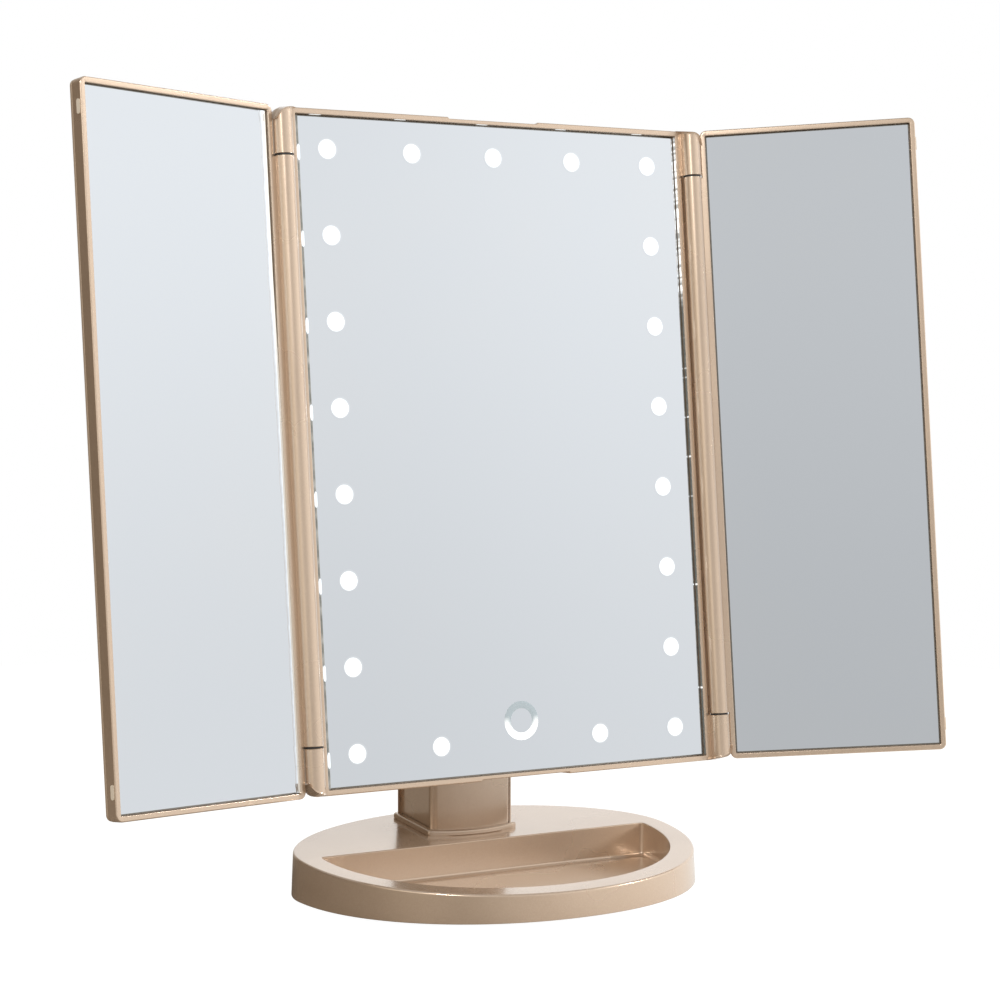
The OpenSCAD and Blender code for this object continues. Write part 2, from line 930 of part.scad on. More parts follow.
module usb_socket() {
    top = -main_board_w - main_board_t;
    mouth = house_half - 0.3;
    color(steel)
        in_panel()
            difference() {
                box([mouth - socket_l, control_v - socket_w / 2, top - socket_h],
                    [mouth, control_v + socket_w / 2, top]);
                difference() {
                    box([mouth - 4.6, control_v - socket_w / 2 + 0.4, top - socket_h + 0.4],
                        [mouth + 1, control_v + socket_w / 2 - 0.4, top - 0.4]);
                    box([mouth - 5, control_v - 2, top - 0.8 - socket_h / 2 + 0.4],
                        [mouth - 0.8, control_v + 2, top - socket_h / 2 + 0.4]);
                }
            }
}

module switch_case() {
    top = -main_board_w - main_board_t;
    inner = house_half - house_wall - seat_gap;
    color(foam)
        in_panel()
            difference() {
                box([-inner, control_v - switch_l / 2, top - switch_h],
                    [switch_deep - inner, control_v + switch_l / 2, top]);
                box([-inner - 1, control_v - knob_l / 2 - door_gap,
                        -knob_w - knob_t / 2 - door_gap],
                    [switch_deep - 1.4 - inner, control_v + knob_path,
                        door_gap + knob_t / 2 - knob_w]);
            }
}

module power_switch() {
    inner = house_half - house_wall - seat_gap;
    ridge = 0.3;
    color(rubber)
        in_panel() {
            box([-house_half - knob_out, control_v - knob_l / 2, -knob_w - knob_t / 2],
                [switch_deep - 1.7 - inner, control_v + knob_l / 2, knob_t / 2 - knob_w]);
            for (v = [-1, 0, 1])
                box([-house_half - knob_out - ridge, control_v + v - ridge / 2,
                        -knob_w - knob_t / 2],
                    [-house_half - knob_out, control_v + v + ridge / 2,
                        knob_t / 2 - knob_w]);
        }
}

// Cells lie across the panel and point to alternate sides
module battery_cells() {
    nub = 1.2;
    tip = bay_half - contact_t;
    color(champagne_dark)
        in_panel()
            for (i = [0 : 3])
                mirror([i % 2, 0, 0]) {
                    v = bay_lo + cell_gap + cell_r + i * (2 * cell_r + cell_gap);
                    rod_x(v, -cell_w, cell_r, tip - cell_len, tip - nub);
                    rod_x(v, -cell_w, 2.75, tip - nub, tip);
                }
}

// A plate at each end of each cell, and a spring sleeve at its flat end
module battery_contacts() {
    plate = 2 * cell_r - 3;
    color(steel)
        in_panel()
            for (i = [0 : 3])
                mirror([i % 2, 0, 0]) {
                    v = bay_lo + cell_gap + cell_r + i * (2 * cell_r + cell_gap);
                    for (side = [-1, 1])
                        box([side > 0 ? bay_half - contact_t : -bay_half,
                                v - plate / 2, -cell_w - plate / 2],
                            [side > 0 ? bay_half : contact_t - bay_half,
                                v + plate / 2, plate / 2 - cell_w]);
                    difference() {
                        rod_x(v, -cell_w, 3.2, contact_t - bay_half,
                            contact_t + spring_len - bay_half);
                        rod_x(v, -cell_w, 2.5, -bay_half - 1,
                            spring_len + contact_t + 1 - bay_half);
                    }
                }
}

// Slides up and off; its side flanges run in the grooves of the housing
module battery_door() {
    color(cover_colour)
        in_panel() {
            box([-door_half, door_lo, -house_back], [door_half, door_hi, -door_in]);
            box([-door_half - flange_out, door_lo, -door_in - flange_t],
                [door_half + flange_out, door_hi, -door_in]);
            for (k = [0 : 4])
                rod_x(door_hi - 6 - 3 * k, -house_back, 0.5, -9, 9);
        }
}

// ---- Tilt axle and hinge pins ----

module tilt_axle() {
    color(steel)
        in_panel() {
            rod_x(pivot_v, pivot_w, axle_r, -lug_out - axle_head_h, lug_out + axle_head_h);
            rod_x(pivot_v, pivot_w, axle_head_r, lug_out, lug_out + axle_head_h);
        }
}

module tilt_nut() {
    color(steel)
        in_panel()
            difference() {
                translate([-lug_out - axle_head_h, pivot_v, pivot_w])
                    rotate([0, 90, 0])
                        cylinder(r = axle_head_r, h = axle_head_h, $fn = 6);
                rod_x(pivot_v, pivot_w, axle_r + fit, -lug_out - 3, 0);
            }
}

module hinge_pins() {
    color(steel)
        in_panel()
            at_hinge_ends()
                rod_y(hinge_half, axis_proud, pin_r, knuckle_len - pin_grip + 0.1,
                    knuckle_len + knuckle_gap + pin_grip);
}

// ---- Wings, drawn with the hinge axis on Y ----

barrel_lo = knuckle_len + knuckle_gap;
bush_out_r = pin_r + 0.8;

module wing_bumper_shape(grow) {
    for (v = [bumper_edge, panel_h - bumper_edge])
        translate([wing_out - bumper_in, v, wing_front - 1.4])
            rotate([0, 90, 0]) {
                reach = (bumper_l - bumper_w) / 2;
                height = bumper_in + bumper_out;
                translate([-bumper_w / 2 - grow, -reach, 0])
                    cube([bumper_w + 2 * grow, 2 * reach, height]);
                for (s = [-1, 1])
                    translate([0, s * reach, 0])
                        cylinder(r = bumper_w / 2 + grow, h = height);
            }
}

module wing_frame() {
    front = -wing_front;
    back = front + wing_frame_depth;
    pocket = front + wing_pane_back;
    lo = wing_in + rim;
    hi = wing_out - rim;
    difference() {
        union() {
            round_plate([wing_in, 0], [wing_out, panel_h], corner_r - 0.5, front, back);
            rod_y(0, 0, barrel_r, barrel_lo, panel_h - barrel_lo);
            box([0, barrel_lo, -web_back], [wing_in + 0.5, panel_h - barrel_lo, wing_front]);
        }
        box([lo, rim, -pocket], [hi, panel_h - rim, 1]);
        box([lo + wing_ledge, rim + wing_ledge, -back - 1],
            [hi - wing_ledge, panel_h - rim - wing_ledge, 1]);
        box([lo - 0.4, rim - 0.4, -back - 1], [hi + 0.4, panel_h - rim + 0.4, -pocket - wing_ledge_t]);
        wing_bumper_shape(fit);
        for (end = [0, 1])
            translate([0, end * panel_h, 0])
                mirror([0, end, 0])
                    rod_y(0, 0, bush_out_r + fit, barrel_lo - 1, barrel_lo + pin_grip + 1);
    }
}

module wing_mirror() {
    lo = wing_in + rim + seat_gap;
    hi = wing_out - rim - seat_gap;
    front = -wing_front + wing_recess;
    box([lo, rim + seat_gap, -front - pane_t], [hi, panel_h - rim - seat_gap, -front]);
}

module wing_pad() {
    edge = rim + wing_ledge + seat_gap;
    box([wing_in + edge, edge, -wing_set_back - wing_frame_depth],
        [wing_out - edge, panel_h - edge, -wing_set_back - wing_pane_back - fit]);
}

module wing_cover() {
    back = wing_set_back + wing_depth;
    round_plate([wing_in + 0.15, 0.15], [wing_out - 0.15, panel_h - 0.15], corner_r - 0.65,
        back - wing_cover_t, back);
}

module wing_bushes() {
    for (end = [0, 1])
        translate([0, end * panel_h, 0])
            mirror([0, end, 0])
                difference() {
                    rod_y(0, 0, bush_out_r, barrel_lo, barrel_lo + pin_grip + 0.8);
                    rod_y(0, 0, pin_r + run_gap, barrel_lo - 1, barrel_lo + pin_grip + 2);
                }
}

module left_wing_frame() { color(champagne) in_left_wing() wing_frame(); }
module left_wing_mirror() { color(silver) in_left_wing() wing_mirror(); }
module left_wing_pad() { color(foam) in_left_wing() wing_pad(); }
module left_wing_cover() { color(cover_colour) in_left_wing() wing_cover(); }
module left_wing_bumpers() { color(champagne) in_left_wing() wing_bumper_shape(0); }
module left_hinge_bushes() { color(nylon) in_left_wing() wing_bushes(); }
module right_wing_frame() { color(champagne) in_right_wing() wing_frame(); }
module right_wing_mirror() { color(silver) in_right_wing() wing_mirror(); }
module right_wing_pad() { color(foam) in_right_wing() wing_pad(); }
module right_wing_cover() { color(cover_colour) in_right_wing() wing_cover(); }
module right_wing_bumpers() { color(champagne) in_right_wing() wing_bumper_shape(0); }
module right_hinge_bushes() { color(nylon) in_right_wing() wing_bushes(); }

base_shell();
base_plate();
ballast();
foot_pads();
base_screws();
stem_shell();
stem_cover();
stem_bracket();
stem_screws();
tilt_bushes();
centre_frame();
centre_mirror();
light_windows();
touch_ring();
touch_disc();
touch_pad();
light_baffle();
led_boards();
leds();
ribbon_cable();
control_board();
usb_socket();
switch_case();
power_switch();
back_cover();
cover_screws();
battery_contacts();
battery_cells();
battery_door();
tilt_axle();
tilt_nut();
hinge_pins();
left_wing_frame();
left_wing_mirror();
left_wing_pad();
left_wing_cover();
left_wing_bumpers();
left_hinge_bushes();
right_wing_frame();
right_wing_mirror();
right_wing_pad();
right_wing_cover();
right_wing_bumpers();
right_hinge_bushes();
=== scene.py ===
"""Trifold vanity mirror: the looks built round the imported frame.

Everything is in metres in the frame's own axes: +Z up, -Y toward the viewer, +X to the right.
The panels are worked out flat, in (u, v, w): u across, v up the panel from its lower edge, w out of
the mirror toward the viewer. in_panel() and in_wing() then set them up as the frame holds them.
"""

import bmesh
import bpy
import numpy as np
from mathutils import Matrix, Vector


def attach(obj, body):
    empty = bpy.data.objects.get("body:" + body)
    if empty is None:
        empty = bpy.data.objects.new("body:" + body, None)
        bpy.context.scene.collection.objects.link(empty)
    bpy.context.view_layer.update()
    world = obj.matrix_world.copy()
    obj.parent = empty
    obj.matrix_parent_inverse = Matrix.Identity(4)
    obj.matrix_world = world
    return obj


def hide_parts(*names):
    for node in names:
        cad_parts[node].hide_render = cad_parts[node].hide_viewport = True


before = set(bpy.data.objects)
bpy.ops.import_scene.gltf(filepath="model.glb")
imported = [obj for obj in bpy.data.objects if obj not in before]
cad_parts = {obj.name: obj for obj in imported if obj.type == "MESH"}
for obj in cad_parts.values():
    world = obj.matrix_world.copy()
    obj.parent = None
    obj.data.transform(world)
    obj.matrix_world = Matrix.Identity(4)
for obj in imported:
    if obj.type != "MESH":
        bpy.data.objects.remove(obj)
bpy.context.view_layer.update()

MM = 0.001

# ---- Sizes, as the part has them ----

LEAN = np.radians(6)
PANEL_H = 245 * MM
PANEL_Y = -27.8 * MM
PANEL_Z = 44.7 * MM
HINGE_U = 87.2 * MM
HINGE_W = 1.6 * MM
BARREL_R = 3.45 * MM
CENTRE_HALF = 83.4 * MM
CENTRE_DEPTH = 7.2 * MM
CENTRE_RECESS = 1.8 * MM
RIM = 2 * MM
PANE_T = 1.8 * MM
PANE_GAP = 0.2 * MM
LEDGE = 3 * MM
KNUCKLE = 17.5 * MM
KNUCKLE_GAP = 0.6 * MM
KNUCKLE_BACK = 3.2 * MM
REACH = HINGE_U + BARREL_R
KNUCKLE_ROUND = 5 * MM
KNUCKLE_SLOPE = 0.2
CHANNEL_T = 1.6 * MM
CHANNEL_OUT = 1.2 * MM
NOTCH_HALF = 19.25 * MM
NOTCH_DEEP = 0.6 * MM

WING_FOLD = {"left": np.radians(16.5), "right": np.radians(33)}
WING_IN = 3.77 * MM
WING_OUT = 86.7 * MM
WING_FRONT = -1 * MM
WING_FRAME_DEPTH = 4.7 * MM
WING_RECESS = 1.1 * MM
WING_CORNER = 2.5 * MM
WING_LEDGE = 2.5 * MM

WINDOW_R = 3.3 * MM
COL_PITCH = 34.3 * MM
ROW_PITCH = 31 * MM
ROW_FIRST = 14 * MM
COLS = 5
ROWS = 8
RING_V = 21.2 * MM
RING_R = 7.25 * MM
RING_BORE = 4.6 * MM

BASE_HALF = 80 * MM
BASE_FRONT = 70 * MM
BASE_BACK = 49 * MM
FRONT_FULLNESS = 2.1
BACK_FULLNESS = 1.95
BASE_TOP = 16.3 * MM
BASE_SLOPE = np.tan(np.radians(4.6))
BASE_LOW = 0.8 * MM
BASE_DRAFT = 0.65 * MM
BASE_WALL = 2 * MM
PLATE_TOP = 2 * MM
TRAY_RIM = 9 * MM
TRAY_BACK = 1.2 * MM
TRAY_FLOOR = 3.3 * MM
TRAY_CORNER = 1.8 * MM
COVE = 1.5 * MM

STEM_HALF = 18.2 * MM
STEM_FRONT = 10.7 * MM
STEM_BACK = 42 * MM
STEM_BULGE = 3.2 * MM
STEM_EDGE = 1.4 * MM
PIVOT_Y = 26.35 * MM
PIVOT_Z = 84 * MM
COLLAR_H = 2.2 * MM
COLLAR_OUT = 1.5 * MM
DOOR_HALF = 13.7 * MM
DOOR_LOW = 26.3 * MM
DOOR_HIGH = 78 * MM
DOOR_DEEP = 2.4 * MM

# ---- Placing ----


def in_panel(u, v, w):
    """World points of flat panel points: the panel leans back about its lower front edge."""
    u, v, w = np.broadcast_arrays(u, v, w)
    y = PANEL_Y + v * np.sin(LEAN) - w * np.cos(LEAN)
    z = PANEL_Z + v * np.cos(LEAN) + w * np.sin(LEAN)
    return np.stack([u, y, z], -1)


def to_panel(points):
    """The flat panel's u and v of world points."""
    dy, dz = points[:, 1] - PANEL_Y, points[:, 2] - PANEL_Z
    return points[:, 0], dy * np.sin(LEAN) + dz * np.cos(LEAN)


def in_wing(side):
    """A function that sets up flat wing points: s out from the hinge axis, n out of the wing's mirror."""
    fold = WING_FOLD[side]
    sign = 1 if side == "right" else -1

    def place(s, v, n):
        u = HINGE_U + s * np.cos(fold) - n * np.sin(fold)
        w = HINGE_W + s * np.sin(fold) + n * np.cos(fold)
        return in_panel(sign * u, v, w)

    return place


def upright(x, y, z):
    """World points as they are."""
    return np.stack(np.broadcast_arrays(x, y, z), -1)


# ---- Curves and shells ----


def arc(centre, radius, start, end, steps):
    """Points on a circle about centre from one angle to another, in degrees."""
    a = np.radians(np.linspace(start, end, steps + 1))
    return np.stack([centre[0] + radius * np.cos(a), centre[1] + radius * np.sin(a)], -1)


def rounded_rect(half_a, half_b, radius, steps=6, stops=()):
    """Closed outline of a rectangle about the origin, anticlockwise, with quarter circles at its
    corners. stops are further places along the two edges that run with the first direction."""
    centres = np.array([[half_a, half_b], [-half_a, half_b], [-half_a, -half_b], [half_a, -half_b]])
    centres = centres - radius * np.sign(centres)
    stops = np.asarray(stops, float)
    upper = np.stack([stops[::-1], np.full(len(stops), half_b)], -1)
    lower = np.stack([stops, np.full(len(stops), -half_b)], -1)
    corners = [arc(c, radius, 90 * k, 90 * k + 90, steps) for k, c in enumerate(centres)]
    return np.concatenate([corners[0], upper, corners[1], corners[2], lower, corners[3]])


def unit(vectors):
    """The same directions, each of length 1."""
    return vectors / np.maximum(np.linalg.norm(vectors, axis=1, keepdims=True), 1e-12)


def drawn_in(outline, distance):
    """A closed outline moved inward along the mean of the normals of each point's two edges."""
    before = outline - np.roll(outline, 1, 0)
    after = np.roll(outline, -1, 0) - outline
    after = unit(after)
    along = unit(unit(before) + after)
    inward = np.stack([-along[:, 1], along[:, 0]], -1)
    corner = np.clip(np.sum(along * after, 1), 0.5, 1)[:, None]
    return outline + inward * distance / corner


def grid_faces(rows, cols, close_rows=False):
    """Quads between neighbouring rows of points, each row being a closed loop."""
    r = np.arange(rows if close_rows else rows - 1)[:, None]
    c = np.arange(cols)[None, :]
    nxt_r, nxt_c = (r + 1) % rows, (c + 1) % cols
    corners = [r * cols + c, r * cols + nxt_c, nxt_r * cols + nxt_c, nxt_r * cols + c]
    return np.stack([np.broadcast_to(k, (len(r), cols)) for k in corners], -1).reshape(-1, 4)


def skin(rings, close=False, caps=False):
    """A shell through closed rings of points, rings x points x 3. close joins the last ring to the
    first; caps puts one flat face on each end."""
    rings = np.asarray(rings)
    rows, cols = rings.shape[:2]
    faces = grid_faces(rows, cols, close).tolist()
    if caps:
        faces.append(list(range(cols))[::-1])
        faces.append(list(range((rows - 1) * cols, rows * cols)))
    return rings.reshape(-1, 3), faces


def joined(shells):
    """Several shells as one list of points and faces."""
    points, faces, start = [], [], 0
    for verts, quads in shells:
        points.append(verts)
        faces += [[start + i for i in f] for f in quads]
        start += len(verts)
    return np.concatenate(points), faces


def make(name, shells, material, body, stands_for=(), crease=35, run=None):
    """One mesh object from shells: normals outward, smooth but for edges sharper than crease
    degrees. run gives each point its two pattern coordinates, kept as the piece's UV map."""
    points, faces = joined(shells)
    mesh = bpy.data.meshes.new(name)
    mesh.from_pydata(points.tolist(), [], faces)
    if run is not None:
        layer = mesh.uv_layers.new(name="run")
        corner = np.zeros(len(mesh.loops), int)
        mesh.loops.foreach_get("vertex_index", corner)
        layer.data.foreach_set("uv", np.asarray(run, float)[corner].ravel())
    work = bmesh.new()
    work.from_mesh(mesh)
    bmesh.ops.remove_doubles(work, verts=work.verts, dist=1e-7)
    bmesh.ops.recalc_face_normals(work, faces=work.faces)
    work.to_mesh(mesh)
    work.free()
    return finished(name, mesh, material, body, stands_for, crease)


def in_scene(name, data):
    """A new object of the scene."""
    held = bpy.data.objects.new(name, data)
    bpy.context.scene.collection.objects.link(held)
    return held


def finished(name, mesh, material, body, stands_for, crease):
    """Puts a mesh into the scene as a smooth-shaded piece that rides on its body."""
    mesh.materials.clear()
    mesh.materials.append(material)
    mesh.polygons.foreach_set("use_smooth", np.ones(len(mesh.polygons), bool))
    mesh.set_sharp_from_angle(angle=np.radians(crease))
    piece = in_scene(name, mesh)
    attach(piece, body)
    if stands_for:
        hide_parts(*stands_for)
    return piece


def flat_faces_stay_flat(piece):
    """Weights the normals by face area, so that a rounding doesn't shade the flat beside it."""
    weighted = piece.modifiers.new("flat_faces", "WEIGHTED_NORMAL")
    weighted.keep_sharp = True
    weighted.weight = 100


def softened(node, name, material, body, width, segments=3):
    """The frame's own shape of a node, with its sharp edges rounded as a moulding has them."""
    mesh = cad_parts[node].data.copy()
    work = bmesh.new()
    work.from_mesh(mesh)
    bmesh.ops.remove_doubles(work, verts=work.verts, dist=2e-6)
    bmesh.ops.dissolve_limit(work, angle_limit=np.radians(0.6), verts=work.verts, edges=work.edges)
    work.to_mesh(mesh)
    work.free()
    piece = finished(name, mesh, material, body, (node,), 40)
    bevel = piece.modifiers.new("edge_round", "BEVEL")
    bevel.width = width
    bevel.segments = segments
    bevel.limit_method = "ANGLE"
    bevel.angle_limit = np.radians(40)
    bevel.use_clamp_overlap = True
    bevel.miter_outer = "MITER_ARC"
    flat_faces_stay_flat(piece)


# ---- Materials ----


class Nodes:
    """A short way to place and join shader nodes in one tree."""

    def __init__(self, tree):
        self.tree = tree

    def add(self, kind, sockets=None, **properties):
        """A node with its properties set, and its sockets by name or number."""
        node = self.tree.nodes.new(kind)
        for key, value in properties.items():
            setattr(node, key, value)
        self.fill(node, sockets or {})
        return node

    def fill(self, node, sockets):
        """Sets a node's sockets to values, or joins other nodes' outputs to them."""
        for key, value in sockets.items():
            if isinstance(value, bpy.types.NodeSocket):
                self.tree.links.new(value, node.inputs[key])
            else:
                node.inputs[key].default_value = value

    def maths(self, how, *values):
        """One Math node's output."""
        return self.add("ShaderNodeMath", dict(enumerate(values)), operation=how).outputs[0]

    def between(self, value, low, high, out_low=0.0, out_high=1.0):
        """A smooth step of a value from one range to another, clamped."""
        ends = {"From Min": low, "From Max": high, "To Min": out_low, "To Max": out_high}
        node = self.add("ShaderNodeMapRange", {"Value": value, **ends}, interpolation_type="SMOOTHSTEP")
        return node.outputs["Result"]

    def noise(self, vector, scale, detail=2.0, rough=0.5):
        """Fractal noise, about 0 to 1."""
        values = {"Vector": vector, "Scale": scale, "Detail": detail, "Roughness": rough}
        return self.add("ShaderNodeTexNoise", values).outputs["Fac"]

    def mixed(self, factor, a, b):
        """Colour a to colour b by a factor."""
        values = {"Factor": factor, "A": a, "B": b}
        node = self.add("ShaderNodeMix", values, data_type="RGBA", blend_type="MIX")
        return node.outputs["Result"]

    def bumped(self, strength, distance, height):
        """The normal that a height gives."""
        values = {"Strength": strength, "Distance": distance, "Height": height}
        return self.add("ShaderNodeBump", values).outputs["Normal"]

    def run(self):
        """The two pattern coordinates that make() keeps as the piece's map."""
        uv = self.add("ShaderNodeUVMap", uv_map="run").outputs["UV"]
        split = self.add("ShaderNodeSeparateXYZ", {"Vector": uv})
        return split.outputs["X"], split.outputs["Y"]


def group_of(name, inputs, outputs):
    """An empty node group with sockets of the kinds given, what comes in, and its output node."""
    tree = bpy.data.node_groups.new(name, "ShaderNodeTree")
    for way, sockets in (("INPUT", inputs), ("OUTPUT", outputs)):
        for label, kind in sockets.items():
            tree.interface.new_socket(label, in_out=way, socket_type=f"NodeSocket{kind}")
    n = Nodes(tree)
    return tree, n, n.add("NodeGroupInput").outputs, n.add("NodeGroupOutput")


def build_flake_group():
    """Metal flake under satin lacquer: flakes that tilt a little, over a fine orange peel. It puts
    out a flake mask, a slow cloud for the lacquer's depth, and the tilted normal."""
    tree, n, given, out = group_of(
        "metal_flake", {"Vector": "Vector", "Flake": "Float", "Depth": "Float"},
        {"Flakes": "Float", "Cloud": "Float", "Normal": "Vector"},
    )
    cells = {"Vector": given["Vector"], "Scale": given["Flake"]}
    cells = n.add("ShaderNodeTexVoronoi", cells, feature="F1")
    parts = n.add("ShaderNodeSeparateColor", {"Color": cells.outputs["Color"]}).outputs
    height = n.maths("MULTIPLY_ADD", parts[0], 0.5, n.noise(given["Vector"], 900.0))
    n.fill(out, {
        "Flakes": parts[1], "Cloud": n.noise(given["Vector"], 22.0, 3.0),
        "Normal": n.bumped(given["Depth"], 0.0002, height),
    })
    return tree


def build_grain_group():
    """Spark-eroded mould grain: fine rounded pits in plastic. It puts out a mask of where hands
    have polished it, the pits' height, and the normal that they give."""
    tree, n, given, out = group_of(
        "mould_grain", {"Vector": "Vector", "Grain": "Float", "Depth": "Float"},
        {"Polish": "Float", "Pits": "Float", "Normal": "Vector"},
    )
    pits = n.noise(given["Vector"], given["Grain"], 3.0, 0.6)
    n.fill(out, {
        "Polish": n.noise(given["Vector"], 30.0), "Pits": pits,
        "Normal": n.bumped(given["Depth"], 0.0001, pits),
    })
    return tree


def start_material(name):
    """A new material's helper, the object's own coordinates, and what sets its Principled shader."""
    mat = bpy.data.materials.new(name)
    mat.use_nodes = True
    n = Nodes(mat.node_tree)

    def surface(sockets):
        n.fill(mat.node_tree.nodes["Principled BSDF"], sockets)
        return mat

    return n, n.add("ShaderNodeTexCoord").outputs["Object"], surface


def placed_group(n, tree, where, **values):
    """What a node group puts out, placed in a material with its own values."""
    return n.add("ShaderNodeGroup", {"Vector": where, **values}, node_tree=tree).outputs


def lacquer(name, colour, deep):
    """Champagne metallic lacquer: colour where flakes face out, deep between them."""
    n, where, surface = start_material(name)
    flakes = placed_group(n, FLAKE, where, Flake=6500.0, Depth=0.02)
    fine = n.mixed(n.between(flakes["Flakes"], 0.2, 0.95), (*deep, 1), (*colour, 1))
    slow = n.maths("MULTIPLY", n.between(flakes["Cloud"], 0.3, 0.7), 0.25)
    return surface({
        "Base Color": n.mixed(slow, fine, (*colour, 1)),
        "Roughness": n.between(flakes["Cloud"], 0.25, 0.75, 0.23, 0.30),
        "Normal": flakes["Normal"], "Metallic": 0.64, "Coat Weight": 1.0, "Coat Roughness": 0.13,
    })


def moulded(name, colour, worn, rough=0.5, grain=1500.0, depth=0.25, metallic=0.0):
    """Moulded plastic with a fine grain, a little glossier where it is handled."""
    n, where, surface = start_material(name)
    marks = placed_group(n, GRAIN, where, Grain=grain, Depth=depth)
    return surface({
        "Base Color": n.mixed(n.between(marks["Polish"], 0.35, 0.7), (*colour, 1), (*worn, 1)),
        "Roughness": n.between(marks["Polish"], 0.3, 0.75, rough + 0.05, rough - 0.06),
        "Normal": marks["Normal"], "Metallic": metallic,
    })


def metal(name, colour, dull, rough=0.3, grain=1800.0, depth=0.15):
    """Bare or plated metal: fine tool marks and a faint bloom of tarnish."""
    n, where, surface = start_material(name)
    marks = placed_group(n, GRAIN, where, Grain=grain, Depth=depth)
    return surface({
        "Base Color": n.mixed(n.between(marks["Polish"], 0.4, 0.75), (*colour, 1), (*dull, 1)),
        "Roughness": n.between(marks["Pits"], 0.3, 0.7, rough - 0.06, rough + 0.08),
        "Normal": marks["Normal"], "Metallic": 1.0,
    })


def silvered_glass(name, tint, haze):
    """Silvered float glass: a clean mirror with the faintest haze of handling."""
    n, where, surface = start_material(name)
    smear = n.noise(where, 9.0, 3.0, 0.6)
    return surface({
        "Base Color": n.mixed(n.between(smear, 0.45, 0.75), (*tint, 1), (*haze, 1)),
        "Roughness": n.between(smear, 0.4, 0.8, 0.012, 0.035), "Metallic": 1.0,
    })


def ground_edge(name):
    """The ground and bevelled edge of a pane: grey-green, a little uneven where it was ground."""
    n, where, surface = start_material(name)
    marks = n.noise(where, 700.0)
    return surface({
        "Base Color": n.mixed(marks, (0.18, 0.19, 0.185, 1), (0.34, 0.35, 0.345, 1)),
        "Roughness": n.between(marks, 0.3, 0.7, 0.25, 0.45),
    })


def painted_edge_light_and_shade(name):
    """Painted light and shade at a pane's edge: white emission that stands in for the light leaving
    the pane by its ground edge, over a dark grey of painted shade where a point is unlit. The piece's
    map holds how brightly each point is lit, in its first direction."""
    n, where, surface = start_material(name)
    lit = n.between(n.run()[0], 0.0, 1.0)
    marks = n.noise(where, 900.0)
    # Painted shade: the dark grey of an unlit point stands in for the shaded gap and recess wall.
    dull = n.mixed(marks, (0.10, 0.11, 0.10, 1), (0.28, 0.29, 0.28, 1))
    return surface({
        "Base Color": n.mixed(lit, dull, (0.9, 0.9, 0.9, 1)),
        "Roughness": n.between(marks, 0.3, 0.7, 0.3, 0.45),
        # Painted light: white emission where a point is lit.
        "Emission Color": n.mixed(lit, (0, 0, 0, 1), (0.85, 0.86, 0.86, 1)), "Emission Strength": 1.0,
    })


def painted_glass_light(name, tint):
    """A pane's face with painted light, which stands in for light that spreads through the glass: the
    mirror itself where the piece's map holds 0 in its first direction, white where it holds 1."""
    n, where, surface = start_material(name)
    lit = n.between(n.run()[0], 0.0, 1.0)
    return surface({
        "Base Color": (*tint, 1), "Metallic": 1.0,
        "Roughness": n.between(n.noise(where, 260.0), 0.4, 0.8, 0.015, 0.04),
        # Painted light: emission where the map holds 1.
        "Emission Color": n.mixed(lit, (0, 0, 0, 1), (0.55, 0.58, 0.57, 1)), "Emission Strength": 1.0,
    })


def frosted_light(name):
    """Frosted glass lit from behind. The piece's map holds each point's distance from the middle of
    its window, 0 to 1, in its first direction and how brightly it is lit in its second."""
    n, where, surface = start_material(name)
    out, level = n.run()
    lit = n.maths("MULTIPLY", n.between(out, 0.86, 1.0, 1.0, 0.86), level)
    return surface({
        "Base Color": n.mixed(level, (0.37, 0.44, 0.49, 1), (0.93, 0.94, 0.94, 1)),
        "Roughness": n.between(n.noise(where, 2500.0), 0.3, 0.7, 0.4, 0.6),
        "Emission Color": n.mixed(lit, (0, 0, 0, 1), (1, 1, 1, 1)), "Emission Strength": 1.0,
    })


def circuit_board(name):
    """Green solder mask over copper tracks that show as a slightly paler grid."""
    n, where, surface = start_material(name)
    tracks = n.add("ShaderNodeTexBrick", {
        "Vector": where, "Scale": 160.0, "Mortar Size": 0.04, "Mortar": (0.03, 0.20, 0.10, 1),
        "Color1": (0.012, 0.085, 0.045, 1), "Color2": (0.015, 0.11, 0.055, 1),
    })
    return surface({
        "Base Color": tracks.outputs["Color"],
        "Roughness": n.between(n.noise(where, 400.0), 0.3, 0.7, 0.28, 0.42),
    })


FLAKE = build_flake_group()
GRAIN = build_grain_group()

CHAMPAGNE = lacquer("champagne_lacquer", (0.70, 0.55, 0.42), (0.625, 0.48, 0.36))
CHAMPAGNE_COVER = moulded(
    "champagne_moulding", (0.545, 0.43, 0.33), (0.56, 0.445, 0.345), rough=0.42, metallic=0.3
)
UNDERSIDE = moulded("underside_moulding", (0.30, 0.22, 0.15), (0.33, 0.25, 0.18), rough=0.55)
MIRROR = silvered_glass("mirror_silver", (0.785, 0.822, 0.862), (0.795, 0.826, 0.858))
PANE_EDGE = ground_edge("pane_ground_edge")
# Painted light and shade for the panes' edges: emissive strips over a dark grey of painted shade.
PAINTED_EDGE_LIGHT_AND_SHADE = painted_edge_light_and_shade("painted_pane_edge_light_and_shade")
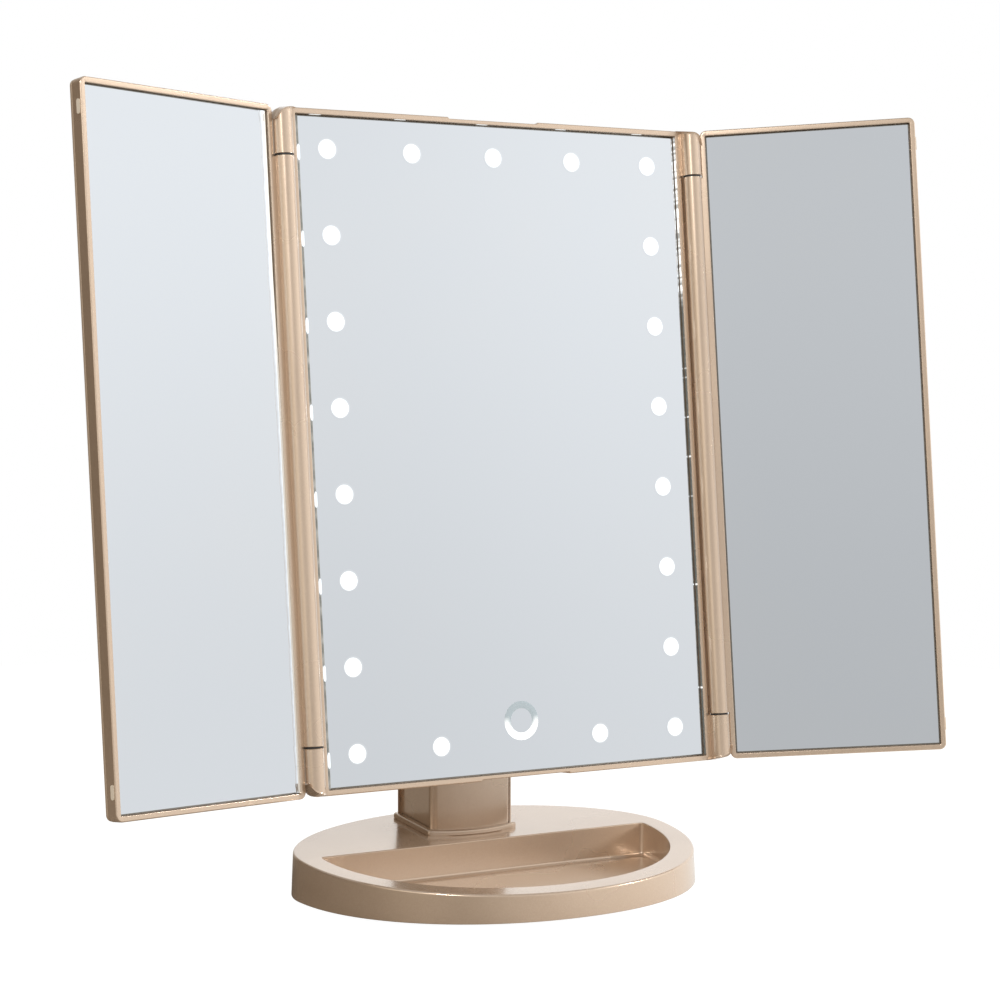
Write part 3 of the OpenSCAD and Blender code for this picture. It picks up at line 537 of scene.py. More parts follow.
# Painted light on the pane faces: dashes, halos and strips that stand in for light and its reflections.
PAINTED_FACE_LIGHT = painted_glass_light("painted_pane_face_light", (0.79, 0.824, 0.86))
WINDOW = frosted_light("frosted_window")
ZINC = metal("zinc_steel", (0.62, 0.63, 0.65), (0.48, 0.48, 0.50))
NICKEL = metal("nickel_steel", (0.72, 0.70, 0.66), (0.58, 0.56, 0.52), rough=0.2)
IRON = metal("ballast_iron", (0.16, 0.16, 0.17), (0.12, 0.11, 0.11), 0.5, grain=500.0, depth=0.4)
COPPER = metal("copper_foil", (0.75, 0.42, 0.28), (0.55, 0.30, 0.20), rough=0.25)
NYLON = moulded("natural_nylon", (0.72, 0.69, 0.60), (0.76, 0.73, 0.66), rough=0.35)
FOAM = moulded("closed_cell_foam", (0.06, 0.06, 0.065), (0.08, 0.08, 0.085), 0.9, 700.0, depth=0.8)
BUMPER = moulded("bumper_rubber", (0.80, 0.72, 0.62), (0.84, 0.77, 0.68), rough=0.4)
RUBBER = moulded("foot_rubber", (0.018, 0.018, 0.018), (0.03, 0.03, 0.03), rough=0.75, grain=900.0)
KNOB = moulded("knob_plastic", (0.022, 0.022, 0.024), (0.04, 0.04, 0.042), rough=0.5)
WHITE = moulded("white_moulding", (0.86, 0.86, 0.84), (0.90, 0.90, 0.89), rough=0.5)
LENS = moulded("led_phosphor", (0.90, 0.80, 0.35), (0.95, 0.88, 0.50), rough=0.3)
JACKET = moulded(
    "cell_jacket", (0.05, 0.055, 0.07), (0.08, 0.085, 0.10), rough=0.32, depth=0.05, metallic=0.6
)
BOARD = circuit_board("circuit_board")

NODE_MATERIALS = {
    "base_shell": CHAMPAGNE, "base_plate": UNDERSIDE, "ballast": IRON, "foot_pads": RUBBER,
    "base_screws": ZINC, "stem_shell": CHAMPAGNE, "stem_cover": UNDERSIDE, "stem_bracket": ZINC,
    "stem_screws": ZINC, "tilt_bushes": NYLON, "centre_frame": CHAMPAGNE, "centre_mirror": MIRROR,
    "light_windows": WINDOW, "touch_ring": WINDOW, "touch_disc": MIRROR, "touch_pad": COPPER,
    "light_baffle": WHITE, "led_boards": BOARD, "leds": LENS, "ribbon_cable": WHITE,
    "control_board": BOARD, "usb_socket": NICKEL, "switch_case": KNOB, "power_switch": KNOB,
    "back_cover": CHAMPAGNE_COVER, "cover_screws": ZINC, "battery_contacts": NICKEL,
    "battery_cells": JACKET, "battery_door": CHAMPAGNE_COVER, "tilt_axle": ZINC, "tilt_nut": ZINC,
    "hinge_pins": ZINC,
}
for hand in ("left", "right"):
    NODE_MATERIALS.update({
        f"{hand}_wing_frame": CHAMPAGNE, f"{hand}_wing_mirror": MIRROR, f"{hand}_wing_pad": FOAM,
        f"{hand}_wing_cover": CHAMPAGNE_COVER, f"{hand}_wing_bumpers": BUMPER,
        f"{hand}_hinge_bushes": NYLON,
    })
for node_name, node_material in NODE_MATERIALS.items():
    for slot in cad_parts[node_name].material_slots:
        slot.material = node_material

# ---- Rims, panes and hinges ----

OUTER_ROUND = 0.5 * MM
INNER_ROUND = 0.3 * MM
BACK_EDGE = 0.12 * MM
FRAME_WALL = 1.6 * MM


def rim_profile(front, back, ledge_from, ledge):
    """Cross-section of a frame's wall as (inset, depth) points: up the outer side, over the rim
    between two quarter rounds, down the recess, out along the ledge and back under it."""
    under = ledge_from - 1 * MM
    return np.concatenate([
        [[BACK_EDGE, back], [0, back + BACK_EDGE]],
        arc((OUTER_ROUND, front - OUTER_ROUND), OUTER_ROUND, 180, 90, 5),
        arc((RIM - INNER_ROUND, front - INNER_ROUND), INNER_ROUND, 90, 0, 4),
        [[RIM, ledge_from], [RIM + ledge, ledge_from]],
        [[RIM + ledge, under], [FRAME_WALL, under], [FRAME_WALL, back]],
    ])


def frame_rings(half_a, half_b, centre, corner, profile, place, stops=(), notch=0.0):
    """Rings of a frame's wall: one rounded rectangle for each point of the profile, drawn in by the
    point's inset. notch sinks the middle of both edges that run across, fading out with the inset."""
    rings = []
    for inset, depth in profile:
        radius = max(corner - inset, BACK_EDGE)
        outline = rounded_rect(half_a - inset, half_b - inset, radius, 6, stops)
        fade = np.clip(1 - inset / RIM, 0, 1)
        middle = np.clip((NOTCH_HALF - np.abs(outline[:, 0])) / (0.5 * MM), 0, 1)
        on_edge = np.abs(outline[:, 1]) > half_b - inset - 1e-6
        outline[:, 1] -= np.sign(outline[:, 1]) * notch * fade * middle * on_edge
        rings.append(place(centre[0] + outline[:, 0], centre[1] + outline[:, 1], depth))
    return rings


def pane_shells(half_a, half_b, centre, front, place):
    """A pane of glass: its silvered face and, apart, the bevelled and ground edge round it."""
    bevel = 0.45 * MM
    back = front - PANE_T

    def ring(inset, depth):
        outline = rounded_rect(half_a - inset, half_b - inset, 0.15 * MM, 1)
        return place(centre[0] + outline[:, 0], centre[1] + outline[:, 1], depth)

    face = skin([ring(bevel, back), ring(bevel, front)], caps=True)
    edge = skin([ring(bevel, front - 0.02 * MM), ring(0, front - bevel), ring(0, back), ring(bevel, back)])
    return face, edge


def knuckle_section():
    """Cross-section of a knuckle, as (u, w): most of a circle about the hinge axis, a little fuller
    where it meets the wing, and the web that runs from it into the side of the centre frame."""
    top = 180 - np.degrees(np.arcsin(-HINGE_W / BARREL_R))
    out = arc((0, 0), 1, top, -90, 26)
    angle = np.linspace(top, -90, len(out))
    fuller = 0.26 * MM * np.clip((80 - angle) / 40, 0, 1) * np.clip((angle + 90) / 40, 0, 1)
    round_part = [HINGE_U, HINGE_W] + out * (BARREL_R + fuller)[:, None]
    web_in = CENTRE_HALF - 1.2 * MM
    web_front = 0.004 * MM
    return np.concatenate([
        [[web_in, -KNUCKLE_BACK], [web_in, web_front], [round_part[0][0] - 0.25 * MM, web_front]],
        round_part[1:],
    ])


def barrel_section():
    """Cross-section of a wing's long barrel, as (s, n): a circle about the axis and the web that
    runs level with the wing's rim."""
    web_out = 4.9 * MM
    web_front = WING_FRONT + 0.006 * MM
    start = np.degrees(np.arcsin(WING_FRONT / BARREL_R))
    end = 360 - np.degrees(np.arccos(1.4 * MM / BARREL_R))
    round_part = arc((0, 0), BARREL_R, start, end, 30)
    return np.concatenate([
        [[web_out, -KNUCKLE_BACK], [web_out, web_front], [round_part[0][0] + 0.25 * MM, web_front]],
        round_part[1:],
    ])


def end_height(u, w):
    """Height of a knuckle's end over the lower edge: level at the frame, then falling away in a
    quarter round outward and in a gentle slope toward the viewer."""
    beyond = np.clip(u - (REACH - KNUCKLE_ROUND), 0, KNUCKLE_ROUND * 0.995)
    fall = KNUCKLE_ROUND - np.sqrt(KNUCKLE_ROUND**2 - beyond**2)
    return PANEL_H - fall - KNUCKLE_SLOPE * np.clip(w, 0, None)


def knuckle_shells():
    """The four knuckles: the section carried along the hinge axis. The inner end is eased; the
    outer end is a dome of rings that shrink toward its middle, each point at end_height."""
    section = knuckle_section()
    heart = np.array([HINGE_U - 1.2 * MM, 0.6 * MM])
    inner_ease = 0.25 * MM
    ease = 1 * MM
    levels = []
    for a in np.radians([0, 30, 60, 90]):
        cut = drawn_in(section, inner_ease * (1 - np.sin(a)))
        levels.append((cut, np.full(len(cut), PANEL_H - KNUCKLE + inner_ease * (1 - np.cos(a)))))
    for a in np.radians([90, 70, 50, 30, 10]):
        cut = drawn_in(section, ease * (1 - np.sin(a)))
        levels.append((cut, end_height(*cut.T) - ease * (1 - np.cos(a))))
    for k in (0.8, 0.55, 0.3, 0.1):
        cut = heart + (drawn_in(section, ease) - heart) * k
        levels.append((cut, end_height(*cut.T) - 0.02 * MM))
    middle = PANEL_H / 2
    shells = []
    for side in (-1, 1):
        for end in (-1, 1):
            rings = [
                in_panel(side * cut[:, 0], middle + end * (v - middle), cut[:, 1]) for cut, v in levels
            ]
            shells.append(skin(rings, caps=True))
    return shells


def channel_shells():
    """The wall behind each barrel, which closes the view through the hinge."""
    shells = []
    low, high = CENTRE_HALF - 0.3 * MM, HINGE_U + CHANNEL_OUT
    back, front = -CENTRE_DEPTH + 0.02 * MM, CHANNEL_T - CENTRE_DEPTH
    round_r = 0.4 * MM
    corner = arc((high - round_r, front - round_r), round_r, 0, 90, 4)
    for side in (-1, 1):
        section = np.concatenate([[[low, back], [high, back]], corner, [[low, front]]])
        ends = (FRAME_WALL, PANEL_H - FRAME_WALL)
        rings = [in_panel(side * section[:, 0], v, section[:, 1]) for v in ends]
        shells.append(skin(rings, caps=True))
    return shells


def shade_washer_shells(place):
    """The dark washer round the pin in the gap at each end of a wing's barrel: a real part that closes the
    gap, made dark as painted shade for the shaded seam.
    """
    a = np.linspace(0, 2 * np.pi, 48, endpoint=False)
    free = 0.03 * MM
    thick = KNUCKLE_GAP - 2 * free
    shells = []
    for low in (KNUCKLE + free, PANEL_H - KNUCKLE - free - thick):
        rings = []
        for radius, v in ((1.15, 0), (3.25, 0), (3.35, 0.1), (3.35, 0.9), (3.25, 1), (1.15, 1)):
            rings.append(place(radius * MM * np.cos(a), low + v * thick, radius * MM * np.sin(a)))
        shells.append(skin(rings, close=True))
    return shells


def barrel_shell(place):
    """A wing's barrel: the section carried between the knuckles, both ends eased."""
    section = barrel_section()
    ease = 0.3 * MM
    levels = []
    for a in np.radians([0, 45, 90]):
        cut = drawn_in(section, ease * (1 - np.sin(a)))
        levels.append((cut, KNUCKLE + KNUCKLE_GAP + ease * (1 - np.cos(a))))
    rings = [place(cut[:, 0], v, cut[:, 1]) for cut, v in levels]
    rings += [place(cut[:, 0], PANEL_H - v, cut[:, 1]) for cut, v in levels[::-1]]
    return skin(rings, caps=True)


# The centre: its rim with finger notches, the four knuckles, the pane and its ground edge
notch_stops = np.array([-19.3, -18.7, -17, -9, 9, 17, 18.7, 19.3]) * MM
centre_rings = frame_rings(
    CENTRE_HALF, PANEL_H / 2, (0, PANEL_H / 2), 0.3 * MM,
    rim_profile(0, -CENTRE_DEPTH, -(CENTRE_RECESS + PANE_T), LEDGE),
    in_panel, notch_stops, NOTCH_DEEP,
)
centre_rim = make(
    "centre_rim", [skin(centre_rings, close=True), *knuckle_shells(), *channel_shells()],
    CHAMPAGNE, "centre_panel", ["centre_frame"],
)
flat_faces_stay_flat(centre_rim)

pane_half = (CENTRE_HALF - RIM - PANE_GAP, PANEL_H / 2 - RIM - PANE_GAP)
face, edge = pane_shells(*pane_half, (0, PANEL_H / 2), -CENTRE_RECESS, in_panel)
make("centre_pane", [face], MIRROR, "centre_panel", ["centre_mirror", "touch_disc"])
make("centre_pane_edge", [edge], PANE_EDGE, "centre_panel")

# ---- Painted light and shade along the edges ----


def ripple(x, step, phase=0.0):
    """A smooth uneven wave, about -1 to 1, whose bumps are about a step apart."""
    x = 2 * np.pi * np.asarray(x) / step
    waves = np.sin(x + phase) + 0.7 * np.sin(1.618 * x + 2.1 + phase)
    return (waves + 0.5 * np.sin(0.414 * x + 4.4 * phase)) / 1.6


def lit_strip(along, low, high, rise, place, lit, fade=(1, 1, 1, 1)):
    """A thin band of painted light and shade on a surface, from low to high at each place along it, raised
    by rise.
    place sets up points from (along, across, lift); lit holds a level for each place and fade
    how much of it each of the four lines across keeps."""
    across = np.stack([low, low * 0.85 + high * 0.15, low * 0.45 + high * 0.55, high], 1)
    lift = np.array([0.2, 1.0, 1.0, 0.2]) * rise
    front = place(along[:, None], across, lift[None, :])
    back = place(along[:, None], across[:, ::-1], np.full((1, 4), -0.02 * MM))
    rings = np.concatenate([front, back], 1)
    level = np.asarray(lit)[:, None] * np.concatenate([fade, fade[::-1]])[None, :]
    return skin(rings, caps=True), np.stack([level, np.zeros_like(level)], -1).reshape(-1, 2)


def make_lit(name, parts, material, body="centre_panel", stands_for=()):
    """One piece of several lit shells, each with its pattern coordinates."""
    shells, runs = zip(*parts)
    make(name, shells, material, body, stands_for, run=np.concatenate(runs))


def dash(centre, half, low, high, place, level, rise=0.03 * MM):
    """A short strip of painted light that fades at both ends."""
    t = np.linspace(-1, 1, 15)
    middle = (low + high) / 2
    half_width = (high - low) / 2 * np.sqrt(np.clip(1 - t**6, 0.05, 1))
    lit = level * np.clip((1 - np.abs(t)) * 6, 0, 1)
    return lit_strip(centre + half * t, middle - half_width, middle + half_width, rise, place, lit)


def painted_halo(u, v):
    """Painted light round one window, which stands in for light that spreads through the glass: a flat
    ring, brightest inside.
    """
    around = np.linspace(0, 2 * np.pi, 49)[:-1]
    steps = np.array([0.93, 1.01, 1.06, 1.13, 1.25])
    radius = np.concatenate([steps, steps[::-1]]) * WINDOW_R
    lift = np.array([0.5, 1, 1, 1, 0.3, -1, -1, -1, -1, -1]) * 0.02 * MM
    rings = in_panel(
        u + radius * np.cos(around)[:, None], v + radius * np.sin(around)[:, None],
        np.tile(lift - CENTRE_RECESS, (48, 1)),
    )
    level = np.array([1.0, 0.8, 0.4, 0.15, 0.0])
    level = np.tile(np.concatenate([level, level[::-1]]), 48)
    return skin(rings, close=True), np.stack([level, 0 * level], -1)


def on_right_wall(v, across, lift):
    """Points on the right-hand wall of the centre's recess, across being the depth."""
    return in_panel(CENTRE_HALF - RIM - lift, v, across)


def on_top_wall(u, across, lift):
    """Points on the upper wall of the centre's recess."""
    return in_panel(u, PANEL_H - RIM - lift, across)


def on_face(v, across, lift):
    """Points on the centre pane, across being the distance from the middle."""
    return in_panel(across, v, lift - CENTRE_RECESS)


# Painted light on the right wall of the recess: bright uneven beads down to the fourth window, then only
# specks, on a dark grey of painted shade
run_v = np.arange(2.3, 242.8, 0.3) * MM
level_line = np.zeros_like(run_v)
BEADS_END = 176 * MM
beads = 0.70 + 0.42 * ripple(run_v, 2.3 * MM) + 0.34 * ripple(run_v, 6.1 * MM, 1.3)
beads += 0.3 * ripple(run_v, 19 * MM, 0.7)
specks = 1.6 * np.clip(ripple(run_v, 3.1 * MM, 0.6) + 0.9 * ripple(run_v, 17 * MM, 2.2) - 1.35, 0, 1)
beaded = np.clip((run_v - BEADS_END) / (9 * MM), 0, 1)
beads_lit = np.clip(beads, 0.34, 1) * beaded + np.clip(specks, 0.05, 0.9) * (1 - beaded)
WALL_LOW = -CENTRE_RECESS + 0.05 * MM
right_painted_beads = lit_strip(
    run_v, WALL_LOW + level_line, -0.42 * MM - 0.12 * MM * ripple(run_v, 5 * MM, 0.4), 0.05 * MM,
    on_right_wall, beads_lit,
)
# Painted shade and light along the left edge of the pane: a dark line of painted shade, broken by a white
# dash of painted light beside each window
LINE_LOW = RIM - CENTRE_HALF + 0.8 * MM
left_painted_shade_line = lit_strip(
    run_v, LINE_LOW + level_line, LINE_LOW + 0.8 * MM + level_line, 0.03 * MM, on_face,
    0.12 + 0.1 * ripple(run_v, 9 * MM),
)
row_places = [ROW_FIRST + row * ROW_PITCH for row in range(ROWS)]
col_places = [(col - (COLS - 1) / 2) * COL_PITCH for col in range(COLS)]
painted_light_dashes = [
    dash(v - 1.6 * MM, 3 * MM, LINE_LOW, LINE_LOW + 1.15 * MM, on_face, 0.9, 0.05 * MM) for v in row_places
]
# Painted light on the upper wall: a short break of light beside each window
top_painted_breaks = [dash(u - 4.6 * MM, 2.6 * MM, WALL_LOW, -0.4 * MM, on_top_wall, 0.62) for u in col_places]
# Painted light and shade on the centre's recess walls and along the pane's left edge.
make_lit("centre_painted_edge_light", [right_painted_beads, left_painted_shade_line, *top_painted_breaks], PAINTED_EDGE_LIGHT_AND_SHADE)
# Painted light: white dashes on the pane's face.
make_lit("centre_painted_face_light", painted_light_dashes, PAINTED_FACE_LIGHT)
window_places = [
    (u, v)
    for col, u in enumerate(col_places)
    for row, v in enumerate(row_places)
    if (col in (0, COLS - 1) or row in (0, ROWS - 1)) and (col, row) != ((COLS - 1) // 2, 0)
]
# Painted light: a glowing ring round each outer window.
make_lit("painted_window_halos", [painted_halo(u, v) for u, v in window_places], PAINTED_FACE_LIGHT)

# ---- Wings ----


def build_wing(side):
    """One wing: rim and barrel in one piece, the pane and its bevelled edge, the rear cover."""
    body, place = f"{side}_wing", in_wing(side)
    middle = ((WING_IN + WING_OUT) / 2, PANEL_H / 2)
    half_s = (WING_OUT - WING_IN) / 2
    pane_front = WING_FRONT - WING_RECESS
    profile = rim_profile(WING_FRONT, WING_FRONT - WING_FRAME_DEPTH, pane_front - PANE_T, WING_LEDGE)
    rings = frame_rings(half_s, PANEL_H / 2, middle, WING_CORNER, profile, place)
    rim = make(
        f"{body}_rim", [skin(rings, close=True), barrel_shell(place)], CHAMPAGNE, body,
        [f"{body}_frame"],
    )
    flat_faces_stay_flat(rim)
    # The washers' dark colour is painted shade in the hinge's seam.
    make(f"{side}_hinge_shade_washers", shade_washer_shells(place), KNOB, body)
    halves = (half_s - RIM - PANE_GAP, PANEL_H / 2 - RIM - PANE_GAP)
    face, edge = pane_shells(*halves, middle, pane_front, place)
    make(f"{side}_pane", [face], MIRROR, body, [f"{body}_mirror"])
    make(f"{side}_pane_edge", [edge], PANE_EDGE, body)
    softened(
        f"{body}_cover", f"{side}_rear_cover", CHAMPAGNE_COVER, body, 0.5 * MM
    )


build_wing("left")
build_wing("right")


def on_left_pane(v, across, lift):
    """Points on the left wing's pane, across being the distance from the hinge axis."""
    return in_wing("left")(across, v, WING_FRONT - WING_RECESS + lift)


# Painted light on the left wing's pane by its inner edge, a painted reflection of the centre's light: a
# wavering strip, wider toward the top
climb = run_v / PANEL_H
upper = np.clip((climb - 0.60) / 0.15, 0, 1)
start = WING_IN + RIM + (0.03 + 0.55 * upper) * MM
wide = (1.3 + climb + 0.16 * ripple(run_v, 14 * MM) + 0.10 * ripple(run_v, 4.3 * MM, 0.9)) * MM
inner_painted_strip = lit_strip(
    run_v, start, start + wide, 0.03 * MM, on_left_pane, 0.62 + 0.38 * upper, (1, 1, 0.75, 0)
)
faint = start + wide + (0.30 + 0.12 * ripple(run_v, 23 * MM, 1.1)) * MM
faint_painted_strip = lit_strip(
    run_v, faint, faint + 0.45 * MM, 0.02 * MM, on_left_pane, 0.16 + level_line, (0, 1, 1, 0)
)
make_lit("left_painted_face_light", [inner_painted_strip, faint_painted_strip], PAINTED_FACE_LIGHT, "left_wing")

# ---- Light windows and touch ring ----


def disc_shell(u, v, radius, bore, lit, steps=40):
    """A frosted disc or ring that lies on the silvered face: rings of points from the bore, or from
    the middle, to a softly falling edge."""
    a = np.linspace(0, 2 * np.pi, steps, endpoint=False)
    inner, middle = bore + 0.1 * (radius - bore), 0.5 * (radius + bore)
    reach = np.array([bore, inner, middle, 0.9 * radius, 0.97 * radius, radius, radius, bore])
    rise = np.array([0.01, 0.04, 0.05, 0.045, 0.03, 0.004, -0.02, -0.02]) * MM - CENTRE_RECESS
    rings = [in_panel(u + r * np.cos(a), v + r * np.sin(a), w) for r, w in zip(reach, rise)]
    points, faces = skin(rings, close=True)
    run = np.stack([np.repeat(reach / radius, steps), lit(points)], -1)
    return (points, faces), run


def all_lit(points):
    """A window is lit all over."""
    return np.ones(len(points))


def ring_lit(points):
    """The touch ring is lit as a crescent, broad below and thin up its sides, and dark on top."""
    u, v = to_panel(points)
    height = (v - RING_V) / RING_R
    out = np.hypot(u, v - RING_V - 0.9 * MM) / MM
    t = np.clip((0.25 - height) / 0.85, 0, 1)
    return t * np.clip((out - 4.7) / 1.2, 0, 1)


windows = [disc_shell(u, v, WINDOW_R, 0.02 * MM, all_lit) for u, v in window_places]
make_lit("frosted_windows", windows, WINDOW, stands_for=["light_windows"])
ring_part, ring_run = disc_shell(0, RING_V, RING_R, RING_BORE, ring_lit, 72)
make("lit_touch_ring", [ring_part], WINDOW, "centre_panel", ["touch_ring"], run=ring_run)

# ---- Base ----


def oval(angle, grow):
    """Outline of the base: half ellipses of their own depth and fullness to the front and rear."""
    c, s = np.cos(angle), np.sin(angle)
    power = np.where(s < 0, 2 / FRONT_FULLNESS, 2 / BACK_FULLNESS)
    reach = np.where(s < 0, BASE_FRONT, BASE_BACK) + grow
    x = (BASE_HALF + grow) * np.sign(c) * np.abs(c) ** power
    y = reach * np.sign(s) * np.abs(s) ** power
    return np.stack([x, y], -1)


def tray(angle, grow):
    """Outline of the D-shaped tray: the base's own curve drawn in by the rim and cut by a straight
    line at the back. Angles over pi follow the curve, the others the line. Each of the two corners
    is a quadratic curve between the places where its legs are a corner's width away."""
    corner = TRAY_CORNER
    edge = TRAY_BACK + grow
    depth = (BASE_BACK if edge > 0 else BASE_FRONT) + grow - TRAY_RIM
    power = (BACK_FULLNESS if edge > 0 else FRONT_FULLNESS) / 2
    start = np.arcsin(np.sign(edge) * (abs(edge) / depth) ** power)
    part = np.clip((angle - np.pi) / np.pi, 0, 1)
    curve = oval(np.pi - start + part * (np.pi + 2 * start), grow - TRAY_RIM)
    tip = oval(np.array([start]), grow - TRAY_RIM)[0]
    line = np.stack([tip[0] * (1 - 2 * angle / np.pi), np.full_like(angle, edge)], -1)
    outline = np.where((angle >= np.pi)[:, None], curve, line)
    near = np.hypot(tip[0] - np.abs(outline[:, 0]), edge - outline[:, 1])
    turn = 0.5 * (1 + np.where(angle >= np.pi, 1, -1) * np.clip(near / corner, 0, 1))[:, None]
    side = np.sign(outline[:, :1])
    rounded = np.concatenate([side * (tip[0] - corner * (1 - turn) ** 2), edge - corner * turn**2], 1)
    return np.where((near < corner)[:, None], rounded, outline)


def on_top(xy, above=0.0):
    """Points on the base's sloping top, or a little above it."""
    return upright(*xy.T, BASE_TOP + BASE_SLOPE * xy[:, 1] + above)


RING_STEPS = 280


def base_rings():
    """Rings of the base: from inside the foot of its wall, up the drafted side, over its rounded
    edge and the sloping top, down the tray's wall and cove, to the middle of the tray's floor."""
    half = np.linspace(0, np.pi, RING_STEPS // 2, endpoint=False)
    half = 0.5 * half + 0.25 * np.pi * (1 - np.cos(half))
    angle = np.concatenate([half, np.pi + half])
    soft = 0.35 * MM
    foot = (
        (BASE_WALL, PLATE_TOP), (BASE_WALL, BASE_LOW), (soft, BASE_LOW),
        (0.1 * MM, BASE_LOW + 0.1 * MM), (0, BASE_LOW + soft),
    )
    rings = [upright(*oval(angle, BASE_DRAFT - inset).T, z) for inset, z in foot]
    edge = 0.8 * MM
    for a in np.radians([0, 18, 36, 54, 72, 90]):
        rings.append(on_top(oval(angle, -edge * (1 - np.cos(a))), -edge * (1 - np.sin(a))))
    lip = 0.4 * MM
    for a in np.radians([90, 60, 30, 0]):
        rings.append(on_top(tray(angle, lip * (1 - np.cos(a))), -lip * (1 - np.sin(a))))
    for a in np.radians([0, 15, 30, 45, 60, 75, 90]):
        down = TRAY_FLOOR + COVE * (1 - np.sin(a))
        rings.append(upright(*tray(angle, -COVE * (1 - np.cos(a))).T, down))
    middle = np.array([0, -0.42 * BASE_FRONT])
    floor = tray(angle, -COVE)
    for k in (0.6, 0.25):
        rings.append(upright(*(middle + (floor - middle) * k).T, TRAY_FLOOR))
    return rings


base_points, base_faces = skin(base_rings())
last = len(base_points)
base_faces.append(list(range(last - RING_STEPS, last)))
base = make(
    "base_body", [(base_points, base_faces)], CHAMPAGNE, "base", ["base_shell"], 50
)
flat_faces_stay_flat(base)

# ---- Stem ----


def stem_section(inset, sunk):
    """Side view of the stem as (y, z): a column whose top is a half circle about the tilt axle.
    sunk moves the place of the rear door inward."""
    radius = (STEM_BACK - STEM_FRONT) / 2 - inset
    low = PLATE_TOP + inset
    head = arc((PIVOT_Y, PIVOT_Z), radius, 0, 180, 40)
    front = np.linspace(PIVOT_Z, low, 12)[1:]
    step = 0.02 * MM
    door = [DOOR_LOW - step, DOOR_LOW, 45 * MM, 62 * MM, DOOR_HIGH, DOOR_HIGH + step]
    back = np.array([low, *door, PIVOT_Z - 1 * MM])
    deep = sunk * ((back >= DOOR_LOW) & (back <= DOOR_HIGH))
    return np.concatenate([
        head,
        np.stack([np.full(len(front), PIVOT_Y - radius), front], -1),
        np.stack([PIVOT_Y + radius - deep, back], -1),
    ])


def stem_shells():
    """The stem: its side view carried across, drawn in at both ends by a quarter round, with the
    front bulging; then the collar at its foot, which lies on the sloping top."""
    turn = np.radians(np.linspace(0, 90, 7))
    ends = [(STEM_HALF - STEM_EDGE * (1 - np.sin(a)), STEM_EDGE * (1 - np.cos(a))) for a in turn[::-1]]
    shoulder = np.linspace(STEM_HALF - STEM_EDGE, DOOR_HALF + 0.02 * MM, 5)[1:]
    stops = [*shoulder, *np.linspace(DOOR_HALF, -DOOR_HALF, 19), *-shoulder[::-1]]
    across = ends[::-1] + [(x, 0.0) for x in stops] + [(-x, e) for x, e in ends]
    rings = []
    for x, inset in across:
        yz = stem_section(inset, DOOR_DEEP * (abs(x) <= DOOR_HALF))
        ahead = np.clip((PIVOT_Y - yz[:, 0]) / (PIVOT_Y - STEM_FRONT), 0, 1)
        rings.append(upright(x, yz[:, 0] + STEM_BULGE * (x / STEM_HALF) ** 2 * ahead, yz[:, 1]))
    column = skin(rings, caps=True)
    half_x = STEM_HALF + COLLAR_OUT
    half_y = (STEM_BACK - STEM_FRONT) / 2 + COLLAR_OUT
    edge = 1 * MM
    sunk = -0.5 * MM
    levels = [(0.3 * MM, sunk), (0.3 * MM, 0), (0, 0.3 * MM), (0, COLLAR_H - edge)]
    for a in np.radians([18, 36, 54, 72, 90]):
        levels.append((edge * (1 - np.cos(a)), COLLAR_H - edge * (1 - np.sin(a))))
    levels += [(COLLAR_OUT + 1 * MM, COLLAR_H), (COLLAR_OUT + 1 * MM, sunk)]
    stops = np.linspace(-15, 15, 13) * MM
    rings = []
    for inset, above in levels:
        corner = max(2.6 * MM - inset, 1 * MM)
        xy = rounded_rect(half_x - inset, half_y - inset, corner, 8, stops)
        front = np.clip(-xy[:, 1] / half_y, 0, 1) ** 4
        xy[:, 1] += PIVOT_Y + STEM_BULGE * (xy[:, 0] / STEM_HALF) ** 2 * front
        rings.append(on_top(xy, above))
    return [column, skin(rings, close=True)]


stem = make("stem_body", stem_shells(), CHAMPAGNE, "base", ["stem_shell"])
flat_faces_stay_flat(stem)

# ---- Rear ----

softened("back_cover", "rear_housing", CHAMPAGNE_COVER, "centre_panel", 0.7 * MM)
softened("battery_door", "bay_door", CHAMPAGNE_COVER, "battery_door", 0.35 * MM)
softened("power_switch", "switch_knob", KNOB, "power_switch", 0.25 * MM, 2)

# ---- Studio ----

# The studio round the object: azimuth in degrees from +X, then its level there in three colours
ROOM = (
    (0, 1.0, 1.0, 0.99), (25, 0.9, 0.9, 0.9), (50, 1.05, 1.05, 1.05), (70, 1.0, 1.0, 1.0),
    (95, 0.45, 0.40, 0.34), (118, 0.14, 0.095, 0.06), (150, 0.08, 0.05, 0.03), (174, 0.10, 0.065, 0.04),
    (188, 0.45, 0.38, 0.30), (201, 1.10, 1.04, 0.93), (220, 1.22, 1.18, 1.08), (231, 0.78, 0.77, 0.76),
    (240, 0.67, 0.67, 0.67), (248, 0.68, 0.68, 0.68), (262, 0.63, 0.63, 0.63), (280, 0.74, 0.74, 0.75),
    (295, 0.90, 0.90, 0.90), (306, 0.99, 0.99, 0.99), (326, 1.0, 1.0, 1.0), (345, 1.15, 1.15, 1.14),
)
